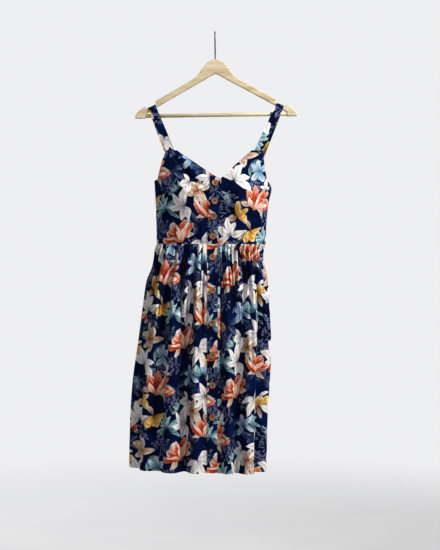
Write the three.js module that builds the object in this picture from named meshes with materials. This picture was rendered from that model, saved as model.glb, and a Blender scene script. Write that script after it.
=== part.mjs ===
// A button-front sundress with a gathered skirt, hanging by its straps on a wooden hanger, at real size.
// Millimetres, +Z up, the front faces -Y. The origin is the point of the hook that rests on a rod.
// Left and right in the names are the wearer's, so the left side lies at +X.
import * as THREE from "three";

// Cloth
const CLOTH = 1.2; // thickness of a single wall
const STRAP_CLOTH = 1.8; // a strap is folded double
const GAP = 0.3; // between two pieces at a seam

// Main levels of the dress
const WAIST_Z = -583;
const HEM_Z = -1196; // in the middle
const HEM_SLOPE = 0.03; // the hem hangs lower towards +X
const STRAP_CORNER_Z = -327; // top of the front, where the straps are sewn on

// Straps
const STRAP_WIDTH = 22;
const STRAP_FRONT_X = { left: [108, 131], right: [-110, -132] }; // inner and outer end of the seam
const STRAP_STEPS = 6; // along each straight run
const STRAP_BACK_X = 90; // where a strap meets the back, each side of the middle

// Button band and buttons
const BAND_WIDTH = 28;
const BUTTON = { diameter: 18, thickness: 3.2, edge: 0.7, holeDiameter: 2.2, holeSpacing: 4.6, lift: 0.4 };
const BODICE_BUTTONS_Z = [-419, -468, -509, -562];
const SKIRT_BUTTONS_Z = [-619, -708, -796, -881, -962, -1047];

// Hanger: a flat board with notched arms, a round trouser bar and a wire hook turned edge-on to the front
const HANGER_TILT = THREE.MathUtils.degToRad(-0.9); // its left end rides a little high
const BOARD = { thickness: 12, edge: 2, topZ: -74.4, endX: 222.7, endZ: -233.4, blockX: 194, blockZ: -221.8 };
const NOTCH = { x: 175.7, z: -202, width: 28, slope: THREE.MathUtils.degToRad(23), corner: 2 };
const BAR = { radius: 5.2, z: -226.9, sides: 12 };
const HOOK = { wire: 3.6, insideRadius: 19, tipAngle: -28, leaveAngle: 222, neckZ: -57, sides: 8, steps: 28 };

// Outline of the dress, a row for each level: its left and right limits seen from the front, the middle of
// the button band, and how far it reaches forward and back. Above the underarm the rows guide the front alone.
const BODICE_LEVELS = [
  { z: -327, minX: -190, maxX: 184, middleX: 1, frontY: -30, backY: 32 },
  { z: -381, minX: -174, maxX: 164, middleX: 1, frontY: -52, backY: 45 },
  { z: -410, minX: -166, maxX: 154, middleX: 1, frontY: -62, backY: 50 },
  { z: -434, minX: -164, maxX: 155, middleX: 1, frontY: -68, backY: 52 },
  { z: -470, minX: -162, maxX: 147, middleX: 0, frontY: -71, backY: 52 },
  { z: -520, minX: -160, maxX: 142, middleX: -4, frontY: -67, backY: 50 },
  { z: -583, minX: -159, maxX: 139, middleX: -6, frontY: -61, backY: 47 },
];
const SKIRT_LEVELS = [
  { z: -583, minX: -159, maxX: 139, middleX: -6, frontY: -61, backY: 47 },
  { z: -604, minX: -161, maxX: 129, middleX: -6, frontY: -67, backY: 52 },
  { z: -626, minX: -165, maxX: 130, middleX: -6, frontY: -71, backY: 56 },
  { z: -652, minX: -173, maxX: 137, middleX: -6, frontY: -75, backY: 60 },
  { z: -682, minX: -186, maxX: 143, middleX: -6, frontY: -79, backY: 64 },
  { z: -732, minX: -194, maxX: 149, middleX: -6, frontY: -84, backY: 68 },
  { z: -852, minX: -207, maxX: 153, middleX: -6, frontY: -90, backY: 74 },
  { z: -947, minX: -219, maxX: 147, middleX: -6, frontY: -93, backY: 78 },
  { z: -1043, minX: -226, maxX: 140, middleX: -6, frontY: -95, backY: 81 },
  { z: -1210, minX: -230, maxX: 136, middleX: -6, frontY: -98, backY: 84 },
];
const FLATNESS = 2.5; // power of the oval sections: 2 is an ellipse, more is flatter in front and behind

// Top edge of each bodice panel from its first seam to its last, as seen from the front, with the columns
// of the wall between one corner and the next.
const TOP_EDGES = {
  left: [
    { x: 1, z: -400, columns: 0 },
    { x: 15, z: -408, columns: 3 },
    { x: 101, z: STRAP_CORNER_Z, columns: 8 },
    { x: 131, z: STRAP_CORNER_Z, columns: 3 },
    { x: 136, z: -381, columns: 4 },
    { x: 143, z: -410, columns: 2 },
    { x: 160, z: -434, columns: 3 },
  ],
  right: [
    { x: 1, z: -400, columns: 0 },
    { x: -13, z: -391, columns: 3 },
    { x: -90, z: -337, columns: 7 },
    { x: -103, z: STRAP_CORNER_Z, columns: 2 },
    { x: -132, z: STRAP_CORNER_Z, columns: 3 },
    { x: -140, z: -345, columns: 2 },
    { x: -151, z: -385, columns: 3 },
    { x: -155, z: -406, columns: 2 },
    { x: -170, z: -413, columns: 2 },
  ],
  back: [
    { x: 160, z: -434, columns: 0 },
    { x: 122, z: -430, columns: 4 },
    { x: 94, z: -430, columns: 2 },
    { x: 0, z: -437, columns: 7 },
    { x: -94, z: -430, columns: 7 },
    { x: -122, z: -430, columns: 2 },
    { x: -170, z: -413, columns: 5 },
  ],
};
const BODICE_ROWS = { left: 9, right: 9, back: 6 };

// Fullness of each cup: middle, reach across and up and down, and how far it stands out
const CUPS = [
  { side: "left", x: 72, z: -462, reachX: 56, reachZ: 78, out: 13 },
  { side: "right", x: -78, z: -460, reachX: 62, reachZ: 78, out: 13 },
];

// Gathers along the waist of each skirt panel: ridges that swell below the seam and die out further down
const GATHERS = { left: 14, right: 14, back: 25 };
const GATHER = { height: 6.5, riseDrop: 9, fadeDrop: 150, columns: 4 };

// Large folds of the skirt. at: share of the panel from its first seam. half: half width as a share.
// flat: part of that which keeps the full depth. out: depth at the hem, outwards. drop: where it starts below the waist.
const FOLDS = {
  left: [
    { at: 0.0, half: 0.2, flat: 0.11, out: -10, drop: 60 },
    { at: 0.22, half: 0.1, flat: 0, out: 9, drop: 40 },
    { at: 0.35, half: 0.1, flat: 0, out: -16, drop: 30 },
    { at: 0.5, half: 0.14, flat: 0.02, out: 17, drop: 60 },
    { at: 0.66, half: 0.1, flat: 0, out: -13, drop: 30 },
    { at: 0.81, half: 0.12, flat: 0, out: 10, drop: 50 },
    { at: 0.92, half: 0.07, flat: 0, out: -6, drop: 90 },
  ],
  right: [
    { at: 0.0, half: 0.16, flat: 0.08, out: -10, drop: 60 },
    { at: 0.17, half: 0.09, flat: 0, out: 11, drop: 20 },
    { at: 0.28, half: 0.1, flat: 0, out: -24, drop: 20 },
    { at: 0.41, half: 0.13, flat: 0.02, out: 15, drop: 40 },
    { at: 0.54, half: 0.08, flat: 0, out: -10, drop: 30 },
    { at: 0.67, half: 0.1, flat: 0, out: 10, drop: 60 },
    { at: 0.79, half: 0.08, flat: 0, out: -9, drop: 40 },
    { at: 0.91, half: 0.08, flat: 0, out: 6, drop: 60 },
  ],
  back: [
    { at: 0.07, half: 0.06, flat: 0, out: -9, drop: 60 },
    { at: 0.15, half: 0.06, flat: 0, out: 11, drop: 40 },
    { at: 0.24, half: 0.06, flat: 0, out: -15, drop: 30 },
    { at: 0.34, half: 0.08, flat: 0.01, out: 15, drop: 60 },
    { at: 0.44, half: 0.05, flat: 0, out: -14, drop: 30 },
    { at: 0.53, half: 0.07, flat: 0, out: 12, drop: 50 },
    { at: 0.62, half: 0.06, flat: 0, out: -17, drop: 20 },
    { at: 0.73, half: 0.08, flat: 0.01, out: 16, drop: 60 },
    { at: 0.83, half: 0.06, flat: 0, out: -12, drop: 40 },
    { at: 0.91, half: 0.05, flat: 0, out: 9, drop: 60 },
  ],
};
const FOLD_GROWTH = 330; // drop over which a fold reaches its depth
const SKIRT_DROPS = [GAP, 9, 24, 52, 100, 180, 300, 450, WAIST_Z - HEM_Z]; // rows of the wall, below the waist

const UP = new THREE.Vector3(0, 0, 1);
const { clamp, lerp, smoothstep } = THREE.MathUtils;

// Materials

const material = (name, color, roughness, metalness = 0) =>
  new THREE.MeshStandardMaterial({ name, color, roughness, metalness });
const PRINTED_CLOTH = material("printed_cloth", 0x14224a, 0.8);
const COCONUT = material("button", 0x9c6a3c, 0.55);
const PALE_WOOD = material("hanger_wood", 0xd9c394, 0.6);
const STEEL = material("hook_steel", 0x8d8d8f, 0.3, 1);

// Repeatable unevenness from 0 to 1, one value for each whole number
function uneven(index) {
  const value = Math.sin(index * 12.9898) * 43758.5453;
  return value - Math.floor(value);
}

// A row between the table's rows, on a smooth curve through each column
function levelAt(rows, z) {
  const last = rows.length - 1;
  let i = 0;
  while (i < last - 1 && z < rows[i + 1].z) i++;
  const [a, b] = [rows[i], rows[i + 1]];
  const [before, after] = [rows[Math.max(i - 1, 0)], rows[Math.min(i + 2, last)]];
  const t = clamp((z - a.z) / (b.z - a.z), 0, 1);
  const level = { z };
  for (const key of Object.keys(a).filter((k) => k !== "z")) {
    const slopeA = ((b[key] - before[key]) / (b.z - before.z)) * (b.z - a.z);
    const slopeB = ((after[key] - a[key]) / (after.z - a.z)) * (b.z - a.z);
    const rise = b[key] - a[key];
    level[key] = a[key] + t * (slopeA + t * (3 * rise - 2 * slopeA - slopeB + t * (slopeA + slopeB - 2 * rise)));
  }
  return level;
}

// Oval sections and the panels round them

const bow = (value) => Math.sign(value) * Math.abs(value) ** (2 / FLATNESS);

// Angle 0 faces the front and a quarter turn faces +X.
function ovalPoint(level, angle) {
  const middle = (level.minX + level.maxX) / 2;
  const halfWidth = (level.maxX - level.minX) / 2;
  const depth = Math.cos(angle) > 0 ? -level.frontY : level.backY;
  return new THREE.Vector3(middle + halfWidth * bow(Math.sin(angle)), -depth * bow(Math.cos(angle)), level.z);
}

function bandAngle(level) {
  const offset = (level.middleX - (level.minX + level.maxX) / 2) / ((level.maxX - level.minX) / 2);
  return Math.asin(Math.sign(offset) * Math.abs(offset) ** (FLATNESS / 2));
}

const ARC_STEPS = 160;
const PANEL_ANGLES = {
  left: (level) => [bandAngle(level), Math.PI / 2],
  right: (level) => [bandAngle(level), -Math.PI / 2],
  back: () => [Math.PI / 2, Math.PI * 1.5],
};
const arcs = new Map();

function panelArc(levels, side, z) {
  const key = `${levels === SKIRT_LEVELS}${side}${z}`;
  if (!arcs.has(key)) {
    const level = levelAt(levels, z);
    const [from, to] = PANEL_ANGLES[side](level);
    const points = [ovalPoint(level, from)];
    const along = [0];
    for (let i = 1; i <= ARC_STEPS; i++) {
      points.push(ovalPoint(level, lerp(from, to, i / ARC_STEPS)));
      along.push(along[i - 1] + points[i].distanceTo(points[i - 1]));
    }
    arcs.set(key, { points, along, length: along[ARC_STEPS] });
  }
  return arcs.get(key);
}

// Point and outward direction on the plain oval, at a share of the panel's arc
function arcPoint(arc, side, share) {
  const target = share * arc.length;
  let i = 0;
  while (i < ARC_STEPS - 1 && arc.along[i + 1] < target) i++;
  const [a, b] = [arc.points[i], arc.points[i + 1]];
  const point = a.clone().lerp(b, (target - arc.along[i]) / (arc.along[i + 1] - arc.along[i]));
  const outward = b.clone().sub(a).cross(UP).normalize();
  return { point, outward: side === "right" ? outward.negate() : outward };
}

function shareAtX(levels, side, x, z) {
  const arc = panelArc(levels, side, z);
  const grows = arc.points[ARC_STEPS].x > arc.points[0].x;
  let [low, high] = [0, 1];
  for (let i = 0; i < 40; i++) {
    const middle = (low + high) / 2;
    if (arcPoint(arc, side, middle).point.x < x === grows) low = middle;
    else high = middle;
  }
  return (low + high) / 2;
}

// Relief of the cloth on the plain ovals

const bump = (reach) => (reach < 1 ? Math.cos((reach * Math.PI) / 2) ** 2 : 0);

function cupRelief(side, point) {
  return CUPS.filter((cup) => cup.side === side).reduce((sum, cup) => {
    const reach = Math.hypot((point.x - cup.x) / cup.reachX, (point.z - cup.z) / cup.reachZ);
    return sum + cup.out * bump(reach);
  }, 0);
}

function gatherRelief(side, share, bandShare, drop) {
  const count = GATHERS[side];
  const place = clamp((share - bandShare) / (1 - bandShare), 0, 1) * count;
  const index = Math.min(Math.floor(place), count - 1);
  const seed = index + { left: 1, right: 101, back: 201 }[side];
  const height = GATHER.height * (0.55 + 0.75 * uneven(seed));
  const fade = GATHER.fadeDrop * (0.5 + uneven(seed + 500));
  const envelope = smoothstep(drop, 0, GATHER.riseDrop) * (1 - smoothstep(drop, GATHER.riseDrop, fade));
  return height * envelope * Math.sin((place - index) * Math.PI) ** 2;
}

function foldRelief(side, share, drop) {
  return FOLDS[side].reduce((sum, fold) => {
    const reach = (Math.abs(share - fold.at) - fold.flat) / (fold.half - fold.flat);
    return sum + fold.out * bump(Math.max(reach, 0)) * smoothstep(drop, fold.drop, fold.drop + FOLD_GROWTH);
  }, 0);
}

const bandShareOf = (arc, side) => (side === "back" ? 0 : (BAND_WIDTH / 2 + 2) / arc.length);

const GARMENT = {
  bodice: {
    levels: BODICE_LEVELS,
    relief: (side, share, point) => cupRelief(side, point),
  },
  skirt: {
    levels: SKIRT_LEVELS,
    relief: (side, share, point, arc) => {
      const drop = WAIST_Z - point.z;
      return gatherRelief(side, share, bandShareOf(arc, side), drop) + foldRelief(side, share, drop);
    },
  },
};

// Middle of the cloth wall
function clothPoint(piece, side, share, z) {
  const arc = panelArc(piece.levels, side, z);
  const { point, outward } = arcPoint(arc, side, share);
  return point.addScaledVector(outward, piece.relief(side, share, point.clone(), arc));
}

// Level direction out of the cloth, from its neighbours along the panel, or of the plain oval at a seam
const SIDE_STEP = 0.003;
function clothOutward(piece, side, share, z) {
  const arc = panelArc(piece.levels, side, z);
  if (Math.min(share, 1 - share) * arc.length < 1) return arcPoint(arc, side, share).outward;
  const before = clothPoint(piece, side, Math.max(share - SIDE_STEP, 0), z);
  const after = clothPoint(piece, side, Math.min(share + SIDE_STEP, 1), z);
  const outward = after.sub(before).cross(UP).normalize();
  return side === "right" ? outward.negate() : outward;
}

// Walls

// A closed wall between two grids of points, each a list of rows
function wallGeometry(outer, inner) {
  const [rows, columns] = [outer.length, outer[0].length];
  const positions = [...outer.flat(), ...inner.flat()].flatMap((p) => [p.x, p.y, p.z]);
  const at = (layer, row, column) => layer * rows * columns + row * columns + column;
  const index = [];
  const quad = (a, b, c, d) => index.push(a, b, c, a, c, d);
  for (let r = 0; r < rows - 1; r++) {
    for (let c = 0; c < columns - 1; c++) {
      quad(at(0, r, c), at(0, r + 1, c), at(0, r + 1, c + 1), at(0, r, c + 1));
      quad(at(1, r, c), at(1, r, c + 1), at(1, r + 1, c + 1), at(1, r + 1, c));
    }
    quad(at(0, r, 0), at(1, r, 0), at(1, r + 1, 0), at(0, r + 1, 0));
    quad(at(0, r, columns - 1), at(0, r + 1, columns - 1), at(1, r + 1, columns - 1), at(1, r, columns - 1));
  }
  for (let c = 0; c < columns - 1; c++) {
    quad(at(0, 0, c), at(0, 0, c + 1), at(1, 0, c + 1), at(1, 0, c));
    quad(at(0, rows - 1, c), at(1, rows - 1, c), at(1, rows - 1, c + 1), at(0, rows - 1, c + 1));
  }
  const geometry = new THREE.BufferGeometry();
  geometry.setAttribute("position", new THREE.Float32BufferAttribute(positions, 3));
  geometry.setIndex(facingOut(positions, index));
  geometry.computeVertexNormals();
  return geometry;
}

// The triangles, turned round if they enclose a negative volume
function facingOut(positions, index) {
  const corner = (i) => new THREE.Vector3().fromArray(positions, index[i] * 3);
  let volume = 0;
  for (let i = 0; i < index.length; i += 3) volume += corner(i).dot(corner(i + 1).cross(corner(i + 2)));
  return volume > 0 ? index : index.toReversed();
}

// A grid of {point, outward} moved outwards by a distance
const moved = (grid, distance) =>
  grid.map((row) => row.map(({ point, outward }) => point.clone().addScaledVector(outward, distance)));

const clothWall = (grid, lift = 0) => wallGeometry(moved(grid, lift + CLOTH / 2), moved(grid, lift - CLOTH / 2));

function clothCell(piece, side, share, z) {
  return { point: clothPoint(piece, side, share, z), outward: clothOutward(piece, side, share, z) };
}

// Shares held clear of the panel's two seams
function clearOfSeams(piece, side, share, z) {
  const half = GAP / 2 / panelArc(piece.levels, side, z).length;
  return clamp(share, half, 1 - half);
}

// Bodice

// The top edge in shares of the panel, and the same edge at any share
const topEdge = (side) =>
  TOP_EDGES[side].map(({ x, z, columns }) => ({ share: shareAtX(BODICE_LEVELS, side, x, z), z, columns }));

function topZ(edge, share) {
  const i = clamp(edge.findIndex((corner) => corner.share >= share), 1, edge.length - 1);
  const [a, b] = [edge[i - 1], edge[i]];
  return lerp(a.z, b.z, clamp((share - a.share) / (b.share - a.share), 0, 1));
}

const columnsOf = (edge) =>
  edge.flatMap((corner, i) =>
    Array.from({ length: corner.columns }, (_, k) =>
      lerp(edge[i - 1].share, corner.share, (k + (i === 1 ? 0 : 1)) / (corner.columns - (i === 1 ? 1 : 0))),
    ),
  );

function bodicePanel(side) {
  const edge = topEdge(side);
  const shares = columnsOf(edge);
  const rows = BODICE_ROWS[side];
  const grid = Array.from({ length: rows + 1 }, (_, row) =>
    shares.map((share) => {
      const z = lerp(topZ(edge, share), WAIST_Z, row / rows);
      return clothCell(GARMENT.bodice, side, clearOfSeams(GARMENT.bodice, side, share, z), z);
    }),
  );
  return clothWall(grid);
}

// Skirt

function skirtShares(side, arc) {
  const bandShare = bandShareOf(arc, side);
  const columns = GATHERS[side] * GATHER.columns;
  const gathered = Array.from({ length: columns + 1 }, (_, i) => lerp(bandShare, 1, i / columns));
  return side === "back" ? gathered : [0, BAND_WIDTH / 4 / arc.length, BAND_WIDTH / 2 / arc.length, ...gathered];
}

// Height of a row, let down towards +X in proportion to its drop
function rowZ(drop, side, share) {
  const { point } = arcPoint(panelArc(SKIRT_LEVELS, side, WAIST_Z - drop), side, share);
  return WAIST_Z - drop - (HEM_SLOPE * point.x * (drop - GAP)) / (WAIST_Z - HEM_Z);
}

function skirtPanel(side) {
  const piece = GARMENT.skirt;
  const grid = SKIRT_DROPS.map((drop) =>
    skirtShares(side, panelArc(piece.levels, side, WAIST_Z - drop)).map((share) => {
      const z = rowZ(drop, side, share);
      return clothCell(piece, side, clearOfSeams(piece, side, share, z), z);
    }),
  );
  return clothWall(grid);
}

// Button band: the points of the two fronts beside the middle, moved out to lie on them

const BAND_PLACES = [-1, -0.5, 0, 0.5, 1].map((part) => (part * BAND_WIDTH) / 2);
const BAND_LIFT = CLOTH + GAP;

function bandCell(piece, place, z) {
  const side = place < 0 ? "right" : "left";
  return clothCell(piece, side, Math.abs(place) / panelArc(piece.levels, side, z).length, z);
}

function bodiceBandGrid() {
  const edges = { left: topEdge("left"), right: topEdge("right") };
  const bandTop = (place) => {
    const side = place < 0 ? "right" : "left";
    const corner = edges[side][1];
    return lerp(edges[side][0].z, corner.z, Math.abs(place) / (BAND_WIDTH / 2));
  };
  const rows = BODICE_ROWS.left;
  return Array.from({ length: rows + 1 }, (_, row) =>
    BAND_PLACES.map((place) => bandCell(GARMENT.bodice, place, lerp(bandTop(place), WAIST_Z, row / rows))),
  );
}

function skirtBandGrid() {
  return SKIRT_DROPS.map((drop) =>
    BAND_PLACES.map((place) => {
      const side = place < 0 ? "right" : "left";
      const share = Math.abs(place) / panelArc(SKIRT_LEVELS, side, WAIST_Z - drop).length;
      return bandCell(GARMENT.skirt, place, rowZ(drop, side, share));
    }),
  );
}

// Buttons

function buttonGeometry() {
  const disc = new THREE.Shape().absarc(0, 0, BUTTON.diameter / 2 - BUTTON.edge, 0, Math.PI * 2);
  for (const x of [-BUTTON.holeSpacing / 2, BUTTON.holeSpacing / 2]) {
    const corners = Array.from({ length: 6 }, (_, i) => {
      const angle = (-i * Math.PI) / 3;
      const radius = BUTTON.holeDiameter / 2 + BUTTON.edge;
      return new THREE.Vector2(x + radius * Math.cos(angle), radius * Math.sin(angle));
    });
    disc.holes.push(new THREE.Path(corners));
  }
  return new THREE.ExtrudeGeometry(disc, {
    depth: BUTTON.thickness - 2 * BUTTON.edge,
    bevelThickness: BUTTON.edge,
    bevelSize: BUTTON.edge,
    bevelSegments: 1,
    curveSegments: 7,
  }).translate(0, 0, BUTTON.edge);
}

// A button sits on the middle column of its band, square to the stretch between two rows.
function placeButton(mesh, bandGrid, z, turn) {
  const column = moved(bandGrid, BAND_LIFT + CLOTH / 2).map((row) => row[2]);
  const i = clamp(column.findIndex((point) => point.z < z), 1, column.length - 1);
  const [above, below] = [column[i - 1], column[i]];
  const rise = above.clone().sub(below).normalize();
  const outward = bandGrid[i][2].outward.clone();
  const facing = outward.addScaledVector(rise, -outward.dot(rise)).normalize();
  mesh.position.copy(below).lerp(above, (z - below.z) / (above.z - below.z)).addScaledVector(facing, BUTTON.lift);
  mesh.quaternion.setFromUnitVectors(UP, facing);
  mesh.rotateZ(turn);
}

// Straps

const tilted = (x, y, z) => new THREE.Vector3(x, y, z).applyAxisAngle(new THREE.Vector3(0, 1, 0), HANGER_TILT);

// Where a strap is sewn to the top edge of a panel: its middle and the level direction of the edge
function strapSeat(side, fromX, toX, z) {
  const [a, b] = [fromX, toX].map((x) => clothPoint(GARMENT.bodice, side, shareAtX(BODICE_LEVELS, side, x, z), z));
  const middle = a.clone().add(b).multiplyScalar(0.5);
  return { point: middle.setZ(z + GAP), across: b.sub(a).setZ(0).normalize() };
}

// A strap runs from the front's corner over the notch of the hanger's arm and down to the back.
function strapGeometry(side) {
  const sign = side === "left" ? 1 : -1;
  const front = strapSeat(side, ...STRAP_FRONT_X[side], STRAP_CORNER_Z);
  const backX = sign * STRAP_BACK_X;
  const back = strapSeat("back", backX - sign * 11, backX + sign * 11, -430);
  const across = tilted(sign * Math.cos(NOTCH.slope), 0, -Math.sin(NOTCH.slope));
  const clear = BOARD.edge + GAP + STRAP_CLOTH / 2;
  const overArm = [180, 135, 90, 90, 45, 0].map((degrees, i) => {
    const angle = THREE.MathUtils.degToRad(degrees);
    const y = (i < 3 ? -1 : 1) * (BOARD.thickness / 2 - BOARD.edge) + clear * Math.cos(angle);
    return { point: tilted(sign * NOTCH.x, y, NOTCH.z - BOARD.edge + clear * Math.sin(angle)), across };
  });
  const run = (from, to) =>
    Array.from({ length: STRAP_STEPS }, (_, i) => ({
      point: from.point.clone().lerp(to.point, i / STRAP_STEPS),
      across: from.across.clone().lerp(to.across, i / STRAP_STEPS).normalize(),
    }));
  const path = [...run(front, overArm[0]), ...overArm.slice(0, -1), ...run(overArm[5], back), back];
  const grid = path.map(({ point, across: sideways }, i) => {
    const along = path[Math.min(i + 1, path.length - 1)].point.clone().sub(path[Math.max(i - 1, 0)].point);
    const outward = along.cross(sideways);
    if (i === 0 || i === path.length - 1) outward.setZ(0);
    outward.normalize();
    return [-1, 0, 1].map((part) => ({
      point: point.clone().addScaledVector(sideways, (part * STRAP_WIDTH) / 2),
      outward,
    }));
  });
  return wallGeometry(moved(grid, STRAP_CLOTH / 2), moved(grid, -STRAP_CLOTH / 2));
}

// Hanger

// Half of the board's outline from the top of the hump to the end of the arm and back under it
function armOutline() {
  const hump = new THREE.SplineCurve(
    [[0, 0], [10, -1.5], [22, -8.5], [36, -25], [52, -46], [70, -59], [90, -70]].map(([x, z]) => new THREE.Vector2(x, z)),
  ).getPoints(16);
  const across = new THREE.Vector2(Math.cos(NOTCH.slope), -Math.sin(NOTCH.slope));
  const floor = new THREE.Vector2(NOTCH.x, NOTCH.z - BOARD.topZ);
  const [innerFloor, outerFloor] = [-1, 1].map((s) => floor.clone().addScaledVector(across, (s * NOTCH.width) / 2));
  const lip = new THREE.Vector2(across.y, -across.x).negate().multiplyScalar(NOTCH.corner);
  const notch = [
    innerFloor.clone().addScaledVector(lip, 5),
    innerFloor.clone().add(lip),
    innerFloor.clone().addScaledVector(across, NOTCH.corner),
    outerFloor.clone().addScaledVector(across, -NOTCH.corner),
    outerFloor.clone().add(lip),
    outerFloor.clone().addScaledVector(lip, 4),
  ];
  const end = new THREE.SplineCurve(
    [[198, -129], [206, -134], [216, -143], [221, -151], [BOARD.endX, BOARD.endZ - BOARD.topZ + 2]].map(
      ([x, z]) => new THREE.Vector2(x, z),
    ),
  ).getPoints(6);
  const under = [
    [BOARD.endX - 2, BOARD.endZ - BOARD.topZ],
    [BOARD.blockX, BOARD.endZ - BOARD.topZ],
    [BOARD.blockX, BOARD.blockZ - BOARD.topZ],
    [158, -126],
    [99, -93],
    [30, -55],
    [12, -44],
  ].map(([x, z]) => new THREE.Vector2(x, z));
  return [...hump, ...notch, ...end, ...under];
}

function boardGeometry() {
  const half = armOutline();
  const mirrored = half
    .slice(1)
    .reverse()
    .map((p) => new THREE.Vector2(-p.x, p.y));
  const outline = [...half, new THREE.Vector2(0, -39), ...mirrored];
  return new THREE.ExtrudeGeometry(new THREE.Shape(outline), {
    depth: BOARD.thickness - 2 * BOARD.edge,
    bevelThickness: BOARD.edge,
    bevelSize: BOARD.edge,
    bevelOffset: -BOARD.edge,
    bevelSegments: 1,
  })
    .translate(0, 0, BOARD.edge - BOARD.thickness / 2)
    .rotateX(Math.PI / 2)
    .translate(0, 0, BOARD.topZ);
}

const barGeometry = () =>
  new THREE.CylinderGeometry(BAR.radius, BAR.radius, 2 * (BOARD.blockX - GAP), BAR.sides)
    .rotateZ(Math.PI / 2)
    .translate(0, 0, BAR.z);

// Wire hook in the YZ plane, from its tip over the rod and down to the top of the board
function hookGeometry() {
  const radius = HOOK.insideRadius + HOOK.wire / 2;
  const loop = Array.from({ length: 15 }, (_, i) => {
    const angle = THREE.MathUtils.degToRad(lerp(HOOK.tipAngle, HOOK.leaveAngle, i / 14));
    return new THREE.Vector3(0, radius * Math.cos(angle), radius * Math.sin(angle) - HOOK.insideRadius);
  });
  const stem = [HOOK.neckZ, (HOOK.neckZ + BOARD.topZ) / 2, BOARD.topZ + GAP].map((z) => new THREE.Vector3(0, 0, z));
  const wire = new THREE.Shape(
    Array.from({ length: HOOK.sides }, (_, i) => {
      const angle = ((i + 0.5) / HOOK.sides) * Math.PI * 2;
      return new THREE.Vector2(Math.cos(angle), Math.sin(angle)).multiplyScalar(HOOK.wire / 2);
    }),
  );
  return new THREE.ExtrudeGeometry(wire, {
    steps: HOOK.steps,
    extrudePath: new THREE.CatmullRomCurve3([...loop, ...stem]),
    bevelEnabled: false,
  });
}

// Assembly

function addMesh(parent, name, geometry, surface) {
  const mesh = new THREE.Mesh(geometry, surface);
  mesh.name = name;
  parent.add(mesh);
  return mesh;
}

const sundress = new THREE.Group();

const hanger = new THREE.Group();
hanger.rotation.y = HANGER_TILT;
addMesh(hanger, "hanger_board", boardGeometry(), PALE_WOOD);
addMesh(hanger, "hanger_bar", barGeometry(), PALE_WOOD);
addMesh(hanger, "hanger_hook", hookGeometry(), STEEL);
sundress.add(hanger);

for (const side of ["left", "right"]) {
  addMesh(sundress, `strap_${side}`, strapGeometry(side), PRINTED_CLOTH);
  addMesh(sundress, `bodice_front_${side}`, bodicePanel(side), PRINTED_CLOTH);
  addMesh(sundress, `skirt_front_${side}`, skirtPanel(side), PRINTED_CLOTH);
}
addMesh(sundress, "bodice_back", bodicePanel("back"), PRINTED_CLOTH);
addMesh(sundress, "skirt_back", skirtPanel("back"), PRINTED_CLOTH);

const button = buttonGeometry();
const bands = [
  { name: "bodice", grid: bodiceBandGrid(), buttonsZ: BODICE_BUTTONS_Z },
  { name: "skirt", grid: skirtBandGrid(), buttonsZ: SKIRT_BUTTONS_Z },
];
for (const { name, grid, buttonsZ } of bands) {
  addMesh(sundress, `${name}_band`, clothWall(grid, BAND_LIFT), PRINTED_CLOTH);
  buttonsZ.forEach((z, i) => {
    const mesh = addMesh(sundress, `button_${name}_${i + 1}`, button, COCONUT);
    placeButton(mesh, grid, z, uneven(i + 40) * Math.PI);
  });
}

export default sundress;
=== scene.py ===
# A sundress in printed cotton on a wooden hanger: the visible cloth, print, sewing, buttons and hanger.
# Sizes are in millimetres, as in the part's own source, and MM turns them into metres.
import math

import bpy
import numpy as np
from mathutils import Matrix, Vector


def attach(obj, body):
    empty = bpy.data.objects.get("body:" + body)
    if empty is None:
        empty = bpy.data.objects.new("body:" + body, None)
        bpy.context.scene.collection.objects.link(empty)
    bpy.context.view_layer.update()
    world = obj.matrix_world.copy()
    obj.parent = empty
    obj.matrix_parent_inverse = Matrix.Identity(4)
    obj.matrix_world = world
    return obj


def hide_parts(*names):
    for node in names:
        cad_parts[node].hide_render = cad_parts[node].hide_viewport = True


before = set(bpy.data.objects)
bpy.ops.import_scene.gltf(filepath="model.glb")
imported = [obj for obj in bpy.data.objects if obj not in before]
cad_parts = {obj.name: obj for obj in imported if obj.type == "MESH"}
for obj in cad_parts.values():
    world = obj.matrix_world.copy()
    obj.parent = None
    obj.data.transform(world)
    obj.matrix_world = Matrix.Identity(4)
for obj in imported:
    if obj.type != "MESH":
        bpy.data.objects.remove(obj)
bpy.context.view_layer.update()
MM = 0.001

# Sizes of the garment and its hanger

CLOTH, STRAP_CLOTH, STRAP_WALL = 0.8, 1.6, 1.8
GAP, SEAM_HALF = 0.3, 0.05
WAIST_Z, HEM_Z, HEM_SLOPE = -583, -1196, 0.03
SKIRT_DROP, SKIRT_MIDDLE_X = WAIST_Z - HEM_Z, -6
STRAP_CORNER_Z, STRAP_WIDTH, STRAP_BACK_X, STRAP_BACK_Z, STRAP_LIFT = -327, 22, 90, -430, 0.1
STRAP_FRONT_X = {"left": (108, 131), "right": (-110, -132)}
BAND_HALF, BAND_LIFT = 14, 1.5
HANGER_TILT = math.radians(-0.9)
BOARD = {"thickness": 12, "edge": 2, "top_z": -74.4, "under_z": -39, "end_x": 222.7, "end_z": -233.4,
         "block_x": 194, "block_z": -221.8}
NOTCH = {"x": 175.7, "z": -202, "width": 28, "slope": math.radians(23), "corner": 2, "lips": (5, 4)}
BAR = {"radius": 5.2, "z": -226.9, "chamfer": 0.5, "sides": 40}
HOOK = {"wire": 3.6, "inside": 19, "tip": -28, "leave": 222, "neck_z": -57, "sides": 20, "taper": (0.7, 0.93)}

# Power of the ovals: 2 is an ellipse, and more is squarer
FLATNESS = 2.5

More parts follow.
